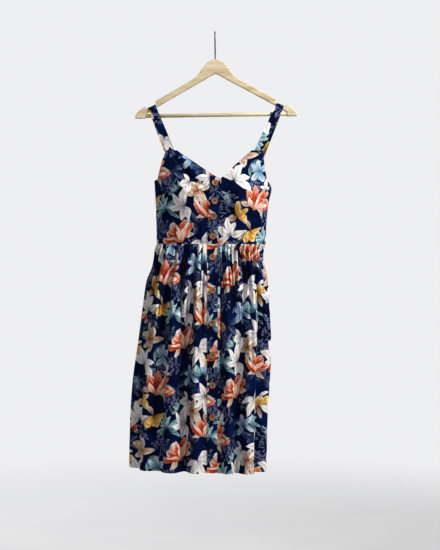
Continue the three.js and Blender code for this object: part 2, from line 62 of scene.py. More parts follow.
# z, min_x, max_x, middle_x, front_y, back_y
BODICE_LEVELS = np.array([
    (-327, -190, 184, 1, -30, 32),
    (-381, -174, 164, 1, -52, 45),
    (-410, -166, 154, 1, -62, 50),
    (-434, -164, 155, 1, -68, 52),
    (-470, -162, 147, 0, -71, 52),
    (-520, -160, 142, -4, -67, 50),
    (-583, -159, 139, -6, -61, 47),
], float)
SKIRT_LEVELS = np.array([
    (-583, -159, 139, -6, -61, 47),
    (-604, -161, 129, -6, -67, 52),
    (-626, -165, 130, -6, -71, 56),
    (-652, -173, 137, -6, -75, 60),
    (-682, -186, 143, -6, -79, 64),
    (-732, -194, 149, -6, -84, 68),
    (-852, -207, 153, -6, -90, 74),
    (-947, -219, 147, -6, -93, 78),
    (-1043, -226, 140, -6, -95, 81),
    (-1210, -230, 136, -6, -98, 84),
], float)

# Top edge of each bodice panel from its first seam to its last: x, z
TOP_EDGES = {
    "left": [(1, -400), (15, -408), (101, -327), (131, -327), (136, -381), (143, -410), (160, -434)],
    "right": [(1, -400), (-13, -391), (-90, -337), (-103, -327), (-132, -327), (-140, -345), (-151, -385),
              (-155, -406), (-170, -413)],
    "back": [(160, -434), (122, -430), (94, -430), (0, -437), (-94, -430), (-122, -430), (-170, -413)],
}

# x, z, reach_x, reach_z, out
CUPS = {"left": (72, -462, 56, 78, 13), "right": (-78, -460, 62, 78, 13)}

# Gathers under the waist seam, and where each panel starts in the row of uneven numbers
GATHERS = {"left": 14, "right": 14, "back": 25}
GATHER_HEIGHT, GATHER_RISE, GATHER_FADE = 6.5, 9, 150
SEED = {"left": 1, "right": 101, "back": 201}

# The short rise under the seam, and the finer pleat on each gather, with the drops where they grow or fade
SEAM_RISE, SEAM_RISE_GROW, SEAM_RISE_FADE = 0.3, (0, 4), (4, 40)
PLEAT, PLEAT_HALF, PLEAT_FADE = 0.34, 0.2, (20, 90)

# Large folds of the skirt: at, half, flat (shares of the panel), out, drop where it starts
FOLDS = {
    "left": [
        (0, 0.2, 0.11, -10, 60), (0.22, 0.1, 0, 9, 40), (0.35, 0.1, 0, -16, 30), (0.5, 0.14, 0.02, 17, 60),
        (0.66, 0.1, 0, -13, 30), (0.81, 0.12, 0, 10, 50), (0.92, 0.07, 0, -6, 90),
    ],
    "right": [
        (0, 0.16, 0.08, -10, 60), (0.17, 0.09, 0, 11, 20), (0.28, 0.1, 0, -24, 20),
        (0.41, 0.13, 0.02, 15, 40), (0.54, 0.08, 0, -10, 30), (0.67, 0.1, 0, 10, 60),
        (0.79, 0.08, 0, -9, 40), (0.91, 0.08, 0, 6, 60),
    ],
    "back": [
        (0.07, 0.06, 0, -9, 60), (0.15, 0.06, 0, 11, 40), (0.24, 0.06, 0, -15, 30),
        (0.34, 0.08, 0.01, 15, 60), (0.44, 0.05, 0, -14, 30), (0.53, 0.07, 0, 12, 50),
        (0.62, 0.06, 0, -17, 20), (0.73, 0.08, 0.01, 16, 60), (0.83, 0.06, 0, -12, 40),
        (0.91, 0.05, 0, 9, 60),
    ],
}
FOLD_GROWTH = 330

# Creases of the bodice, seen from the front: x and z of the start, middle and end, half width, out, sharp
BODICE_CREASES = {
    "right": [
        (-118, -336, -74, -394, -20, -434, 11, -8.5, 1), (-92, -344, -56, -384, -16, -412, 14, 3.5, 0),
        (-128, -372, -84, -432, -30, -452, 15, 3, 0), (-50, -430, -34, -446, -17, -449, 8, -4.5, 1),
        (-158, -424, -128, -448, -96, -462, 12, -3, 1), (-156, -486, -126, -500, -92, -496, 13, -2.6, 0),
        (-134, -580, -126, -548, -132, -508, 12, -3.4, 0), (-104, -581, -98, -540, -90, -504, 12, 3, 0),
        (-74, -581, -66, -550, -66, -518, 10, -3.2, 1), (-40, -581, -34, -548, -36, -506, 11, 2.6, 0),
    ],
    "left": [
        (116, -336, 84, -392, 50, -436, 12, -6, 1), (92, -342, 62, -382, 22, -418, 14, 3, 0),
        (150, -430, 122, -452, 92, -460, 12, -3.4, 1), (136, -404, 116, -430, 96, -444, 12, 2.6, 0),
        (60, -446, 40, -462, 17, -468, 10, -3, 1), (140, -500, 108, -512, 74, -506, 13, -2.8, 0),
        (118, -581, 112, -546, 118, -510, 12, -3.4, 0), (86, -581, 82, -544, 76, -508, 12, 3, 0),
        (52, -581, 50, -550, 54, -520, 10, -3, 1), (28, -581, 24, -546, 26, -512, 9, 2.4, 0),
    ],
    "back": [
        (130, -444, 92, -476, 40, -488, 14, -3.4, 1), (-140, -436, -96, -470, -44, -486, 14, -3.4, 1),
        (70, -440, 52, -470, 20, -486, 13, 2.6, 0), (-70, -440, -52, -470, -16, -488, 13, 2.6, 0),
        (106, -581, 98, -540, 104, -500, 12, -3.2, 0), (58, -581, 50, -544, 56, -512, 12, 3, 0),
        (8, -581, 0, -540, 6, -498, 11, -3.2, 1), (-44, -581, -52, -548, -46, -514, 12, 2.8, 0),
        (-98, -581, -92, -544, -100, -504, 12, -3.2, 1),
    ],
}

# Creases of the skirt, on the panel: share and drop of the start, middle and end, half share, out, sharp
SKIRT_CREASES = {
    "right": [
        (0.12, 6, 0.115, 150, 0.13, 380, 0.035, -10, 1), (0.27, 4, 0.25, 90, 0.25, 250, 0.03, -8.5, 1),
        (0.2, 10, 0.185, 160, 0.19, 420, 0.035, 5.5, 0), (0.46, 4, 0.37, 160, 0.33, 560, 0.042, -21, 1),
        (0.36, 4, 0.32, 60, 0.3, 150, 0.026, 5, 0), (0.52, 8, 0.45, 180, 0.43, 420, 0.04, 6, 0),
        (0.6, 4, 0.56, 130, 0.55, 330, 0.036, -10.5, 1), (0.68, 8, 0.65, 120, 0.66, 260, 0.034, 5.5, 0),
        (0.76, 4, 0.73, 100, 0.73, 240, 0.03, -8.5, 1), (0.9, 6, 0.87, 140, 0.88, 330, 0.034, -7, 1),
        (0.5, 300, 0.49, 450, 0.47, 600, 0.045, -6.5, 0), (0.7, 280, 0.74, 430, 0.76, 600, 0.045, -7, 1),
        (0.22, 380, 0.24, 480, 0.25, 606, 0.04, 5, 0), (0.155, 3, 0.15, 70, 0.152, 170, 0.014, -6.5, 1),
        (0.235, 3, 0.225, 110, 0.22, 250, 0.015, -7, 1), (0.335, 3, 0.3, 90, 0.275, 200, 0.015, -7.5, 1),
        (0.41, 3, 0.36, 60, 0.345, 130, 0.014, -6, 1), (0.54, 3, 0.5, 110, 0.485, 280, 0.016, -8, 1),
        (0.66, 3, 0.63, 90, 0.615, 210, 0.016, -7, 1), (0.82, 3, 0.8, 80, 0.795, 190, 0.016, -6.5, 1),
    ],
    "left": [
        (0.115, 4, 0.115, 160, 0.135, 430, 0.04, -15, 1), (0.22, 6, 0.205, 110, 0.21, 260, 0.036, 5, 0),
        (0.3, 4, 0.29, 90, 0.29, 220, 0.034, -8.5, 1), (0.5, 4, 0.44, 150, 0.41, 460, 0.045, -15, 1),
        (0.4, 8, 0.36, 80, 0.35, 180, 0.034, 5, 0), (0.6, 6, 0.56, 160, 0.53, 380, 0.045, 6, 0),
        (0.7, 4, 0.67, 120, 0.67, 300, 0.04, -10, 1), (0.84, 6, 0.81, 140, 0.8, 360, 0.04, -8.5, 1),
        (0.77, 30, 0.75, 140, 0.74, 260, 0.036, 5, 0), (0.6, 320, 0.64, 450, 0.66, 606, 0.05, -7, 1),
        (0.24, 330, 0.26, 460, 0.28, 604, 0.05, -5.5, 0), (0.16, 3, 0.155, 90, 0.16, 230, 0.018, -7.5, 1),
        (0.25, 3, 0.245, 60, 0.25, 150, 0.016, -6.5, 1), (0.36, 3, 0.33, 110, 0.32, 270, 0.018, -8, 1),
        (0.44, 3, 0.4, 70, 0.385, 160, 0.016, -6.5, 1), (0.57, 3, 0.52, 120, 0.49, 290, 0.018, -7.5, 1),
        (0.64, 3, 0.615, 70, 0.61, 180, 0.016, -6.5, 1), (0.78, 3, 0.765, 90, 0.76, 220, 0.016, -6.5, 1),
    ],
    "back": [
        (0.05, 4, 0.055, 130, 0.05, 330, 0.018, -8.5, 1), (0.13, 6, 0.12, 150, 0.125, 360, 0.02, 5.5, 0),
        (0.2, 4, 0.215, 160, 0.225, 470, 0.022, -12, 1), (0.29, 6, 0.29, 120, 0.295, 300, 0.02, 5, 0),
        (0.36, 4, 0.375, 110, 0.38, 260, 0.018, -9, 1), (0.45, 4, 0.45, 170, 0.44, 440, 0.02, -10, 1),
        (0.52, 6, 0.525, 120, 0.53, 280, 0.02, 5.5, 0), (0.6, 4, 0.605, 180, 0.61, 500, 0.022, -12.5, 1),
        (0.68, 4, 0.68, 100, 0.675, 230, 0.018, -8.5, 1), (0.76, 6, 0.755, 150, 0.75, 340, 0.02, 5.5, 0),
        (0.84, 4, 0.83, 150, 0.825, 400, 0.02, -10.5, 1), (0.93, 4, 0.93, 120, 0.94, 300, 0.018, -8.5, 1),
        (0.3, 300, 0.32, 450, 0.33, 604, 0.024, -7, 1), (0.7, 320, 0.69, 460, 0.68, 604, 0.024, -7, 1),
        (0.085, 3, 0.085, 80, 0.09, 190, 0.009, -6, 1), (0.165, 3, 0.17, 110, 0.17, 260, 0.01, -7, 1),
        (0.25, 3, 0.255, 70, 0.26, 160, 0.009, -6, 1), (0.33, 3, 0.335, 120, 0.34, 280, 0.01, -7, 1),
        (0.41, 3, 0.41, 70, 0.415, 170, 0.009, -6, 1), (0.49, 3, 0.49, 100, 0.485, 240, 0.01, -7, 1),
        (0.565, 3, 0.565, 70, 0.57, 160, 0.009, -6, 1), (0.645, 3, 0.645, 120, 0.64, 280, 0.01, -7, 1),
        (0.72, 3, 0.715, 70, 0.71, 170, 0.009, -6, 1), (0.8, 3, 0.795, 110, 0.79, 250, 0.01, -7, 1),
        (0.885, 3, 0.885, 80, 0.88, 190, 0.009, -6, 1),
    ],
}
CREASE_STEPS, CREASE_SHARPNESS, CREASE_TAPER, CREASE_HALF_DROP = 12, 1.6, 0.6, 200

# How far relief keeps off a side seam and the button band, from none to all of it
SEAM_CLEAR, BAND_CLEAR = (0, 12), (15, 24)
PUCKER_PITCH, PUCKER_HEIGHT, PUCKER_REACH = 11, 0.8, 32

# Past any distance that counts, in half widths of a crease or millimetres from a petal's edge
FAR = 9.0


def uneven(index):
    """Numbers from 0 to 1 that look random and are the same each run."""
    value = np.sin(np.asarray(index, float) * 12.9898) * 43758.5453
    return value - np.floor(value)


def smoothstep(value, low, high):
    t = np.clip((value - low) / (high - low), 0, 1)
    return t * t * (3 - 2 * t)


def bump(reach):
    return np.where(np.abs(reach) < 1, np.cos(np.clip(reach, -1, 1) * math.pi / 2) ** 2, 0)


def bow(value):
    return np.sign(value) * np.abs(value) ** (2 / FLATNESS)


def unit(vectors):
    return vectors / np.linalg.norm(vectors, axis=-1, keepdims=True)


def circle(count):
    angles = 2 * math.pi * np.arange(count) / count
    return np.stack([np.cos(angles), np.sin(angles)], -1)


def travelled(points):
    """How far along its row each point lies, measured over the folds."""
    steps = np.linalg.norm(np.diff(points, axis=-2), axis=-1)
    return np.concatenate([np.zeros_like(steps[..., :1]), np.cumsum(steps, axis=-1)], axis=-1)


# Plain ovals of the garment

def level_at(levels, z):
    """Rows of the table at heights z, on smooth curves through its columns."""
    last = len(levels) - 1
    i = np.clip((z[:, None] < levels[None, 1:last, 0]).sum(1), 0, last - 1)
    a, b = levels[i], levels[i + 1]
    before, after = levels[np.maximum(i - 1, 0)], levels[np.minimum(i + 2, last)]
    step = (b[:, 0] - a[:, 0])[:, None]
    t = np.clip((z - a[:, 0])[:, None] / step, 0, 1)
    slope_a = (b - before) / (b - before)[:, :1] * step
    slope_b = (after - a) / (after - a)[:, :1] * step
    rise = b - a
    return a + t * (slope_a + t * (3 * rise - 2 * slope_a - slope_b + t * (slope_a + slope_b - 2 * rise)))


class Ovals:
    """One side of the garment's plain ovals, read by share of the panel and height."""

    LEVELS, ANGLES, SHARES = 150, 900, 600

    def __init__(self, levels, side):
        self.z = np.linspace(levels[-1, 0], levels[0, 0], self.LEVELS)
        _, low, high, middle, front, back = level_at(levels, self.z).T[:, :, None]
        centre, half = (low + high) / 2, (high - low) / 2
        offset = (middle - centre) / half
        band = np.arcsin(np.sign(offset) * np.abs(offset) ** (FLATNESS / 2))
        seam = np.full_like(band, math.pi / 2)
        start, end = {"left": (band, seam), "right": (band, -seam), "back": (seam, 3 * seam)}[side]
        angle = start + (end - start) * np.linspace(0, 1, self.ANGLES)
        x = centre + half * bow(np.sin(angle))
        y = np.where(np.cos(angle) > 0, front, -back) * bow(np.cos(angle))
        along = travelled(np.stack([x, y], -1))
        self.length = along[:, -1]
        share = np.linspace(0, 1, self.SHARES)
        self.x, self.y = (np.array([np.interp(share * a[-1], a, row) for a, row in zip(along, values)])
                          for values in (x, y))
        dx, dy = np.gradient(self.x, axis=1), np.gradient(self.y, axis=1)
        size = np.hypot(dx, dy) * (-1 if side == "right" else 1)
        self.out_x, self.out_y = dy / size, -dx / size

    def read(self, share, z):
        """x, y, outward x and y, and the panel's length there."""
        row = np.clip((z - self.z[0]) / (self.z[1] - self.z[0]), 0, self.LEVELS - 1.001)
        column = np.clip(share, 0, 1) * (self.SHARES - 1.001)
        r, c = row.astype(int), column.astype(int)
        down, across = row - r, column - c

        def mix(a):
            upper = a[r, c] * (1 - across) + a[r, c + 1] * across
            lower = a[r + 1, c] * (1 - across) + a[r + 1, c + 1] * across
            return upper * (1 - down) + lower * down

        length = self.length[r] * (1 - down) + self.length[r + 1] * down
        return mix(self.x), mix(self.y), mix(self.out_x), mix(self.out_y), length

    def share_at_x(self, x, z):
        xs, shares = self.x[np.argmin(np.abs(self.z - z))], np.linspace(0, 1, self.SHARES)
        return float(np.interp(x, xs, shares)) if xs[-1] > xs[0] else float(np.interp(-x, -xs, shares))


SIDES, FRONTS = ("left", "right", "back"), ("left", "right")
OVALS = {(piece, side): Ovals(levels, side) for side in SIDES
         for piece, levels in (("bodice", BODICE_LEVELS), ("skirt", SKIRT_LEVELS))}


# Relief of the cloth

def crease_relief(px, py, route, half_x, half_y, out, sharp):
    """A ridge or trough along a curve through three points, tapering to both ends, soft or sharp."""
    start, middle, end = np.reshape(route, (3, 2)) / (half_x, half_y)
    qx, qy = px / half_x, py / half_y
    best, place = np.full(px.shape, FAR), np.zeros(px.shape)
    curve = [(1 - t) ** 2 * start + 2 * t * (1 - t) * (2 * middle - (start + end) / 2) + t * t * end
             for t in np.linspace(0, 1, CREASE_STEPS + 1)]
    for k, (a, b) in enumerate(zip(curve, curve[1:])):
        dx, dy = b - a
        t = np.clip(((qx - a[0]) * dx + (qy - a[1]) * dy) / (dx * dx + dy * dy), 0, 1)
        away = np.hypot(qx - a[0] - t * dx, qy - a[1] - t * dy)
        closer = away < best
        best, place = np.where(closer, away, best), np.where(closer, (k + t) / CREASE_STEPS, place)
    shape = np.clip(1 - best, 0, 1) ** CREASE_SHARPNESS if sharp else bump(best)
    return out * shape * np.sin(np.clip(place, 0, 1) * math.pi) ** CREASE_TAPER


def clear_of_edges(side, share, length):
    """Nothing at the side seams, and nothing under the button band."""
    first = SEAM_CLEAR if side == "back" else BAND_CLEAR
    return smoothstep((1 - share) * length, *SEAM_CLEAR) * smoothstep(share * length, *first)


def bodice_relief(side, share, z, x, length):
    """Cup, creases and the fine puckers above the waist seam."""
    total = np.zeros_like(x)
    clear = clear_of_edges(side, share, length)
    if side in CUPS:
        cup_x, cup_z, reach_x, reach_z, out = CUPS[side]
        total += out * bump(np.hypot((x - cup_x) / reach_x, (z - cup_z) / reach_z))
    for *route, half, out, sharp in BODICE_CREASES[side]:
        total += crease_relief(x, z, route, half, half, out, sharp) * clear
    pucker = np.sin(share * length * 2 * math.pi / PUCKER_PITCH + 2.5 * np.sin(share * 23))
    pucker *= 0.5 + 0.5 * np.sin(share * 41 + SEED[side])
    return total + PUCKER_HEIGHT * pucker * smoothstep(-z, -WAIST_Z - PUCKER_REACH, -WAIST_Z - 2) * clear


def skirt_relief(side, share, z, x, length):
    """Gathers that fade below the waist, each with a finer pleat on it, then large folds and creases."""
    drop = WAIST_Z - z
    band = 0 if side == "back" else (BAND_HALF + 2) / length
    count = GATHERS[side]
    place = np.clip((share - band) / (1 - band), 0, 1) * count
    index = np.minimum(np.floor(place), count - 1)
    part, seed = place - index, index + SEED[side]
    height = GATHER_HEIGHT * (0.55 + 0.75 * uneven(seed)) * (0.4 + 0.75 * uneven(seed + 1300))
    fade = GATHER_FADE * (0.5 + uneven(seed + 500))
    envelope = smoothstep(drop, 0, GATHER_RISE + 14) * (1 - smoothstep(drop, GATHER_RISE, fade))
    envelope += SEAM_RISE * smoothstep(drop, *SEAM_RISE_GROW) * (1 - smoothstep(drop, *SEAM_RISE_FADE))
    total = height * envelope * (1.4 * np.sin(part * math.pi) ** 0.8 - 0.4)
    lean = 0.3 + 0.4 * uneven(seed + 900)
    pleat = PLEAT * height * envelope * bump((part - lean) / PLEAT_HALF)
    total += pleat * (1 - smoothstep(drop, *PLEAT_FADE))
    for at, half, flat, out, start in FOLDS[side]:
        reach = np.maximum((np.abs(share - at) - flat) / (half - flat), 0)
        total += out * bump(reach) * smoothstep(drop, start, start + FOLD_GROWTH)
    clear = clear_of_edges(side, share, length)
    for *route, half, out, sharp in SKIRT_CREASES[side]:
        crease = crease_relief(share, drop, route, half, CREASE_HALF_DROP, out, sharp)
        total += crease * clear * smoothstep(drop, *SEAM_CLEAR)
    return total


RELIEF = {"bodice": bodice_relief, "skirt": skirt_relief}


def cloth_points(piece, side, share, z):
    """Middle of the cloth, and its level outward direction on the plain oval."""
    x, y, out_x, out_y, length = OVALS[piece, side].read(share, z)
    relief = RELIEF[piece](side, share, z, x, length)
    points = np.stack([x + out_x * relief, y + out_y * relief, z], -1)
    return points, np.stack([out_x, out_y, np.zeros_like(x)], -1)


# Meshes from grids

def grid_normals(points, outward):
    """Unit normals of a grid of points, turned to the side of outward."""
    normal = np.cross(np.gradient(points, axis=1), np.gradient(points, axis=0))
    normal /= np.maximum(np.linalg.norm(normal, axis=-1, keepdims=True), 1e-9)
    return normal * np.sign((normal * outward).sum())


def new_object(name, vertices, faces, materials, smooth=True):
    mesh = bpy.data.meshes.new(name)
    mesh.from_pydata(np.asarray(vertices).tolist(), [], faces)
    mesh.update()
    for item in materials:
        mesh.materials.append(item)
    mesh.polygons.foreach_set("use_smooth", [smooth] * len(mesh.polygons))
    thing = bpy.data.objects.new(name, mesh)
    bpy.context.scene.collection.objects.link(thing)
    return thing


def grid_faces(rows, columns, start):
    i = start + np.arange(rows * columns).reshape(rows, columns)
    return np.stack([i[:-1, :-1], i[1:, :-1], i[1:, 1:], i[:-1, 1:]], -1).reshape(-1, 4)


def edge_loop(rows, columns):
    """Grid indices round the edge, in one direction."""
    i = np.arange(rows * columns).reshape(rows, columns)
    return np.concatenate([i[0, :-1], i[:-1, -1], i[-1, :0:-1], i[:0:-1, 0]])


def tube_faces(rows, sides, start=0):
    """Faces of a solid through rings of points, its two flat ends first."""
    last = start + (rows - 1) * sides
    faces = [tuple(range(start, start + sides))[::-1], tuple(range(last, last + sides))]
    for ring in range(start, last, sides):
        for k in range(sides):
            a, b = ring + k, ring + (k + 1) % sides
            faces.append((a, b, b + sides, a + sides))
    return faces


# Places on the map for baking: across for the outside, inside and rim, and up for both sheets and the rim
BAKE_OUTSIDE, BAKE_INSIDE, BAKE_RIM = (0.01, 0.71), (0.73, 0.99), (0.01, 0.99)
BAKE_UP, BAKE_RIM_UP = (0.03, 0.99), (0.004, 0.016)


def bake_places(faces_out, faces_in, outside, inside, rim_turned):
    """A map for baking, a row for each corner: outside and inside side by side, and the rim as a strip below.
    outside and inside are the rows and columns of the two grids."""
    laid = np.concatenate([
        np.stack(np.meshgrid(np.linspace(*span, columns), np.linspace(*BAKE_UP, rows)), -1).reshape(-1, 2)
        for span, (rows, columns) in ((BAKE_OUTSIDE, outside), (BAKE_INSIDE, inside))])
    along = np.linspace(*BAKE_RIM, 4 * (sum(inside) - 2) + 1)
    start, middle, end = along[:-1:2], along[1::2], along[2::2]
    outer, inner = (np.full_like(start, v) for v in BAKE_RIM_UP)
    strip = np.concatenate([np.stack([np.stack(corner, -1) for corner in corners], 1) for corners in (
        ((start, outer), (middle, outer), (start, inner)), ((middle, outer), (end, inner), (start, inner)),
        ((middle, outer), (end, outer), (end, inner)))])
    if rim_turned:
        strip = strip[:, ::-1]
    return np.concatenate([part.reshape(-1, 2) for part in (laid[faces_out], laid[faces_in], strip)])


def cloth_shell(name, points, outward, thickness, flat, materials):
    """A thin closed shell about a grid of points: a fine outside, a coarser inside and the rim between them.
    flat holds each point's place on the flat cloth. Both counts of the grid are odd."""
    normal = grid_normals(points, outward)
    front = points + normal * thickness / 2
    rear = (points - normal * thickness / 2)[::2, ::2]
    vertices = np.concatenate([front.reshape(-1, 3), rear.reshape(-1, 3)]) * MM
    places = np.concatenate([flat.reshape(-1, 2), flat[::2, ::2].reshape(-1, 2)])
    outside, inside, count = front.shape[:2], rear.shape[:2], front.size // 3
    faces_out, faces_in = grid_faces(*outside, 0), grid_faces(*inside, count)
    face = vertices[faces_out[0]]
    faces_outward = np.cross(face[1] - face[0], face[2] - face[0]) @ normal[0, 0] > 0
    outer, inner = edge_loop(*outside), count + edge_loop(*inside)
    o0, o1, o2 = outer[::2], outer[1::2], np.roll(outer, -2)[::2]
    i0, i1 = inner, np.roll(inner, -1)
    rim = np.concatenate([np.stack(t, -1) for t in ((o0, o1, i0), (o1, i1, i0), (o1, o2, i1))])
    if faces_outward:
        faces_in, rim = faces_in[:, ::-1], rim[:, ::-1]
    else:
        faces_out = faces_out[:, ::-1]
    thing = new_object(name, vertices, [*faces_out.tolist(), *faces_in.tolist(), *rim.tolist()], materials)
    mesh, counts = thing.data, [len(faces_out), len(faces_in), len(rim)]
    mesh.polygons.foreach_set("material_index", np.repeat([0, 1, 0], counts))
    loops = np.empty(len(mesh.loops), dtype=np.int32)
    mesh.loops.foreach_get("vertex_index", loops)
    mesh.uv_layers.new(name="FlatCloth").data.foreach_set("uv", (places[loops] * MM).ravel())
    laid = bake_places(faces_out, faces_in, outside, inside, faces_outward)
    mesh.uv_layers.new(name="OFBake").data.foreach_set("uv", laid.ravel())
    for layer, values in print_fields(places).items():
        item = mesh.attributes.new(f"print_{layer}", "FLOAT_VECTOR", "POINT")
        item.data.foreach_set("vector", values.astype(np.float32).ravel())
    return thing


# Print: flowers and leaves on a repeat, each petal kept as distance to its edge and place along and across

REPEAT = (320, 300)

# Petal shapes: how the width grows from the base and closes to the tip
SHARP, LEAF, POINTED, BLUNT, LINE = (1.0, 1.15), (0.95, 0.85), (0.85, 0.8), (0.7, 0.5), (0.1, 0.1)

# Kinds of motif, as rings of petals: layer, count, base, length, half width, shape, spread, turn
KINDS = {
    "peony": [("beige", 5, 0, 1, 0.17, SHARP, 230, -115), ("coral", 5, -0.3, 1.1, 0.19, BLUNT, 124, -62),
              ("coral", 3, -0.4, 1.04, 0.18, BLUNT, 62, -31),
              ("cream", 3, -0.4, 1.04, 0.1, POINTED, 96, -50),
              ("cream", 2, -0.46, 0.72, 0.09, BLUNT, 44, -14)],
    "open": [("beige", 6, 0.06, 0.94, 0.25, POINTED, 360, 0), ("beige", 5, 0.02, 0.62, 0.17, SHARP, 360, 31),
             ("coral", 3, 0, 0.36, 0.08, SHARP, 360, 12), ("yellow", 2, -0.03, 0.2, 0.07, BLUNT, 360, 50)],
    "orchid": [("beige", 3, 0, 1.05, 0.18, SHARP, 190, 85), ("yellow", 3, 0, 0.9, 0.24, POINTED, 140, -70),
               ("yellow", 2, -0.04, 0.56, 0.19, BLUNT, 80, -40), ("beige", 1, -0.04, 0.3, 0.1, BLUNT, 0, 0)],
    "thistle": [("slate", 3, -0.9, 0.85, 0.16, SHARP, 130, 115),
                ("teal", 9, 0, 0.98, 0.14, POINTED, 240, -120), ("teal", 6, 0, 0.7, 0.13, BLUNT, 190, -95),
                ("pale", 4, 0.05, 0.54, 0.08, POINTED, 130, -65)],
    "lily": [("white", 5, 0, 1.04, 0.222, SHARP, 204, -102), ("white", 1, -0.75, 0.8, 0.018, LINE, 0, 178)],
    "bloom": [("pale", 5, 0.02, 0.96, 0.2, LEAF, 250, -125), ("teal", 4, 0, 0.66, 0.13, SHARP, 190, -95)],
    "leaves": [("slate", 4, 0, 1, 0.18, SHARP, 190, -95), ("slate", 1, -0.8, 0.8, 0.02, LINE, 0, 180)],
    "pair": [("white", 2, 0, 1, 0.225, SHARP, 64, -32), ("white", 1, 0, 0.72, 0.17, SHARP, 0, 100)],
    "bud": [("coral", 2, 0, 1, 0.26, POINTED, 30, -15), ("beige", 1, 0, 0.8, 0.2, POINTED, 0, 24)],
    "tuft": [("teal", 4, 0, 1, 0.15, SHARP, 100, -50), ("pale", 2, 0, 0.7, 0.1, SHARP, 40, -20)],
    "sprig": [("line", 1, -0.5, 1.5, 0.016, LINE, 0, 0), ("line", 5, 0.45, 0.4, 0.085, POINTED, 170, -85),
              ("line", 4, 0.1, 0.4, 0.085, POINTED, 190, -95),
              ("line", 3, 0.72, 0.34, 0.07, POINTED, 70, -35),
              ("line", 9, 0.36, 0.26, 0.07, BLUNT, 360, 20)],
}

# The charted repeat: kind, x, y, radius, turn
MOTIFS = [
    ("leaves", 84, 100, 42, 300), ("leaves", 252, 246, 42, 80), ("leaves", 8, 92, 36, 200),
    ("leaves", 150, 240, 32, 20), ("leaves", 302, 200, 42, 60), ("sprig", 204, 108, 40, 285),
    ("sprig", 236, 190, 40, 200), ("sprig", 92, 246, 40, 20), ("sprig", 232, 290, 36, 330),
    ("sprig", 146, 66, 36, 120), ("sprig", 74, 8, 32, 340), ("sprig", 170, 196, 30, 70),
    ("sprig", 306, 150, 32, 30), ("thistle", 230, 56, 42, 260), ("thistle", 40, 208, 43, 310),
    ("tuft", 168, 144, 32, 40), ("tuft", 268, 8, 30, 220), ("tuft", 108, 228, 26, 150),
    ("bloom", 196, 164, 34, 200), ("bloom", 308, 216, 34, 250), ("open", 138, 114, 42, 10),
    ("open", 4, 6, 36, 40), ("bud", 100, 72, 24, 320), ("lily", 116, 36, 46, 250),
    ("lily", 288, 44, 47, 170), ("lily", 18, 142, 46, 60), ("lily", 124, 184, 48, 300),
    ("lily", 42, 270, 46, 190), ("pair", 236, 108, 30, 350), ("pair", 300, 276, 34, 120),
    ("pair", 72, 134, 27, 30), ("pair", 214, 214, 28, 240), ("orchid", 178, 26, 40, 60),
    ("orchid", 76, 168, 38, 250), ("orchid", 138, 282, 34, 330), ("peony", 46, 58, 53, 276),
    ("peony", 272, 124, 50, 245), ("peony", 190, 250, 51, 292),
]
LAYERS = ("line", "slate", "teal", "pale", "beige", "white", "yellow", "coral", "cream")

# How far petals vary in length, width, turn (degrees) and bend, and the print wanders, coarse and fine
VARY_LENGTH, VARY_HALF, VARY_TURN, VARY_BEND = 0.32, 0.3, 18, 0.8
WANDER, WANDER_FINE = 2.6, 1.5

# How far a motif's petals reach past its radius, how far a petal's bend turns, and how fast its ends close
PETAL_REACH, BEND_TURN, END_SLOPE = 1.5, 2.6, 1.5


def petals_of(kind, seed):
    """Layer, base, length, half width, shape, direction and bend of each petal of a motif."""
    number = 0
    for layer, count, base, length, half, shape, spread, turn in KINDS[kind]:
        step = spread / count if spread == 360 else spread / max(count - 1, 1)
        for k in range(count):
            number += 1
            vary = [float(uneven(seed * 37 + number * 4 + j)) - 0.5 for j in range(4)]
            direction = math.radians(turn + k * step + VARY_TURN * vary[2])
            yield (layer, base, length * (1 + VARY_LENGTH * vary[0]), half * (1 + VARY_HALF * vary[1]), shape,
                   direction, VARY_BEND * vary[3])


def print_fields(flat):
    """For each layer, the distance inside the nearest petal, and the place along and across it."""
    fields = {layer: np.tile(np.array([-FAR, 0, 0]), (len(flat), 1)) for layer in LAYERS}
    u, v = (flat * 2 * math.pi / REPEAT).T
    wander = (np.sin(3 * v + u + 1), np.sin(4 * u + 2 * v + 0.5))
    wander_fine = (np.sin(7 * v - 4 * u + 2), np.sin(8 * u + 5 * v + 4))
    flat = flat + (WANDER * np.stack(wander, -1) + WANDER_FINE * np.stack(wander_fine, -1))
    half_repeat = np.array(REPEAT) / 2
    for seed, (kind, *middle, radius, turn) in enumerate(MOTIFS):
        x, y = ((flat - middle + half_repeat) % REPEAT - half_repeat).T
        near = np.nonzero(x * x + y * y < (radius * PETAL_REACH) ** 2)[0]
        x, y = x[near] / radius, y[near] / radius
        c, s = math.cos(math.radians(turn)), math.sin(math.radians(turn))
        for layer, base, length, half, (grow, close), angle, bend in petals_of(kind, seed):
            # a base below 0 moves the whole ring back, and one above 0 starts each petal away from the middle
            px, py = x * c + y * s - min(base, 0), y * c - x * s
            along = (px * math.cos(angle) + py * math.sin(angle) - max(base, 0)) / length
            bent = bend * half * np.sin(np.clip(along, 0, 1) * BEND_TURN)
            across = py * math.cos(angle) - px * math.sin(angle) - bent
            t = np.clip(along, 1e-4, 1 - 1e-4)
            peak = grow / (grow + close)
            width = half * (t / peak) ** grow * ((1 - t) / (1 - peak)) ** close
            from_end = length * np.minimum(along, 1 - along) * END_SLOPE
            edge = np.minimum(width - np.abs(across), from_end) * radius
            old = fields[layer][near, 0]
            take = (edge > 0) | ((old <= 0) & (edge > old))
            values = np.stack([np.clip(edge, -FAR, FAR), along, across / half], -1)
            fields[layer][near[take]] = values[take]
    return fields


# Materials

def colour(text):
    """Linear colour from an sRGB hex code."""
    parts = [int(text[i:i + 2], 16) / 255 for i in (0, 2, 4)]
    return (*[p / 12.92 if p <= 0.04045 else ((p + 0.055) / 1.055) ** 2.4 for p in parts], 1)


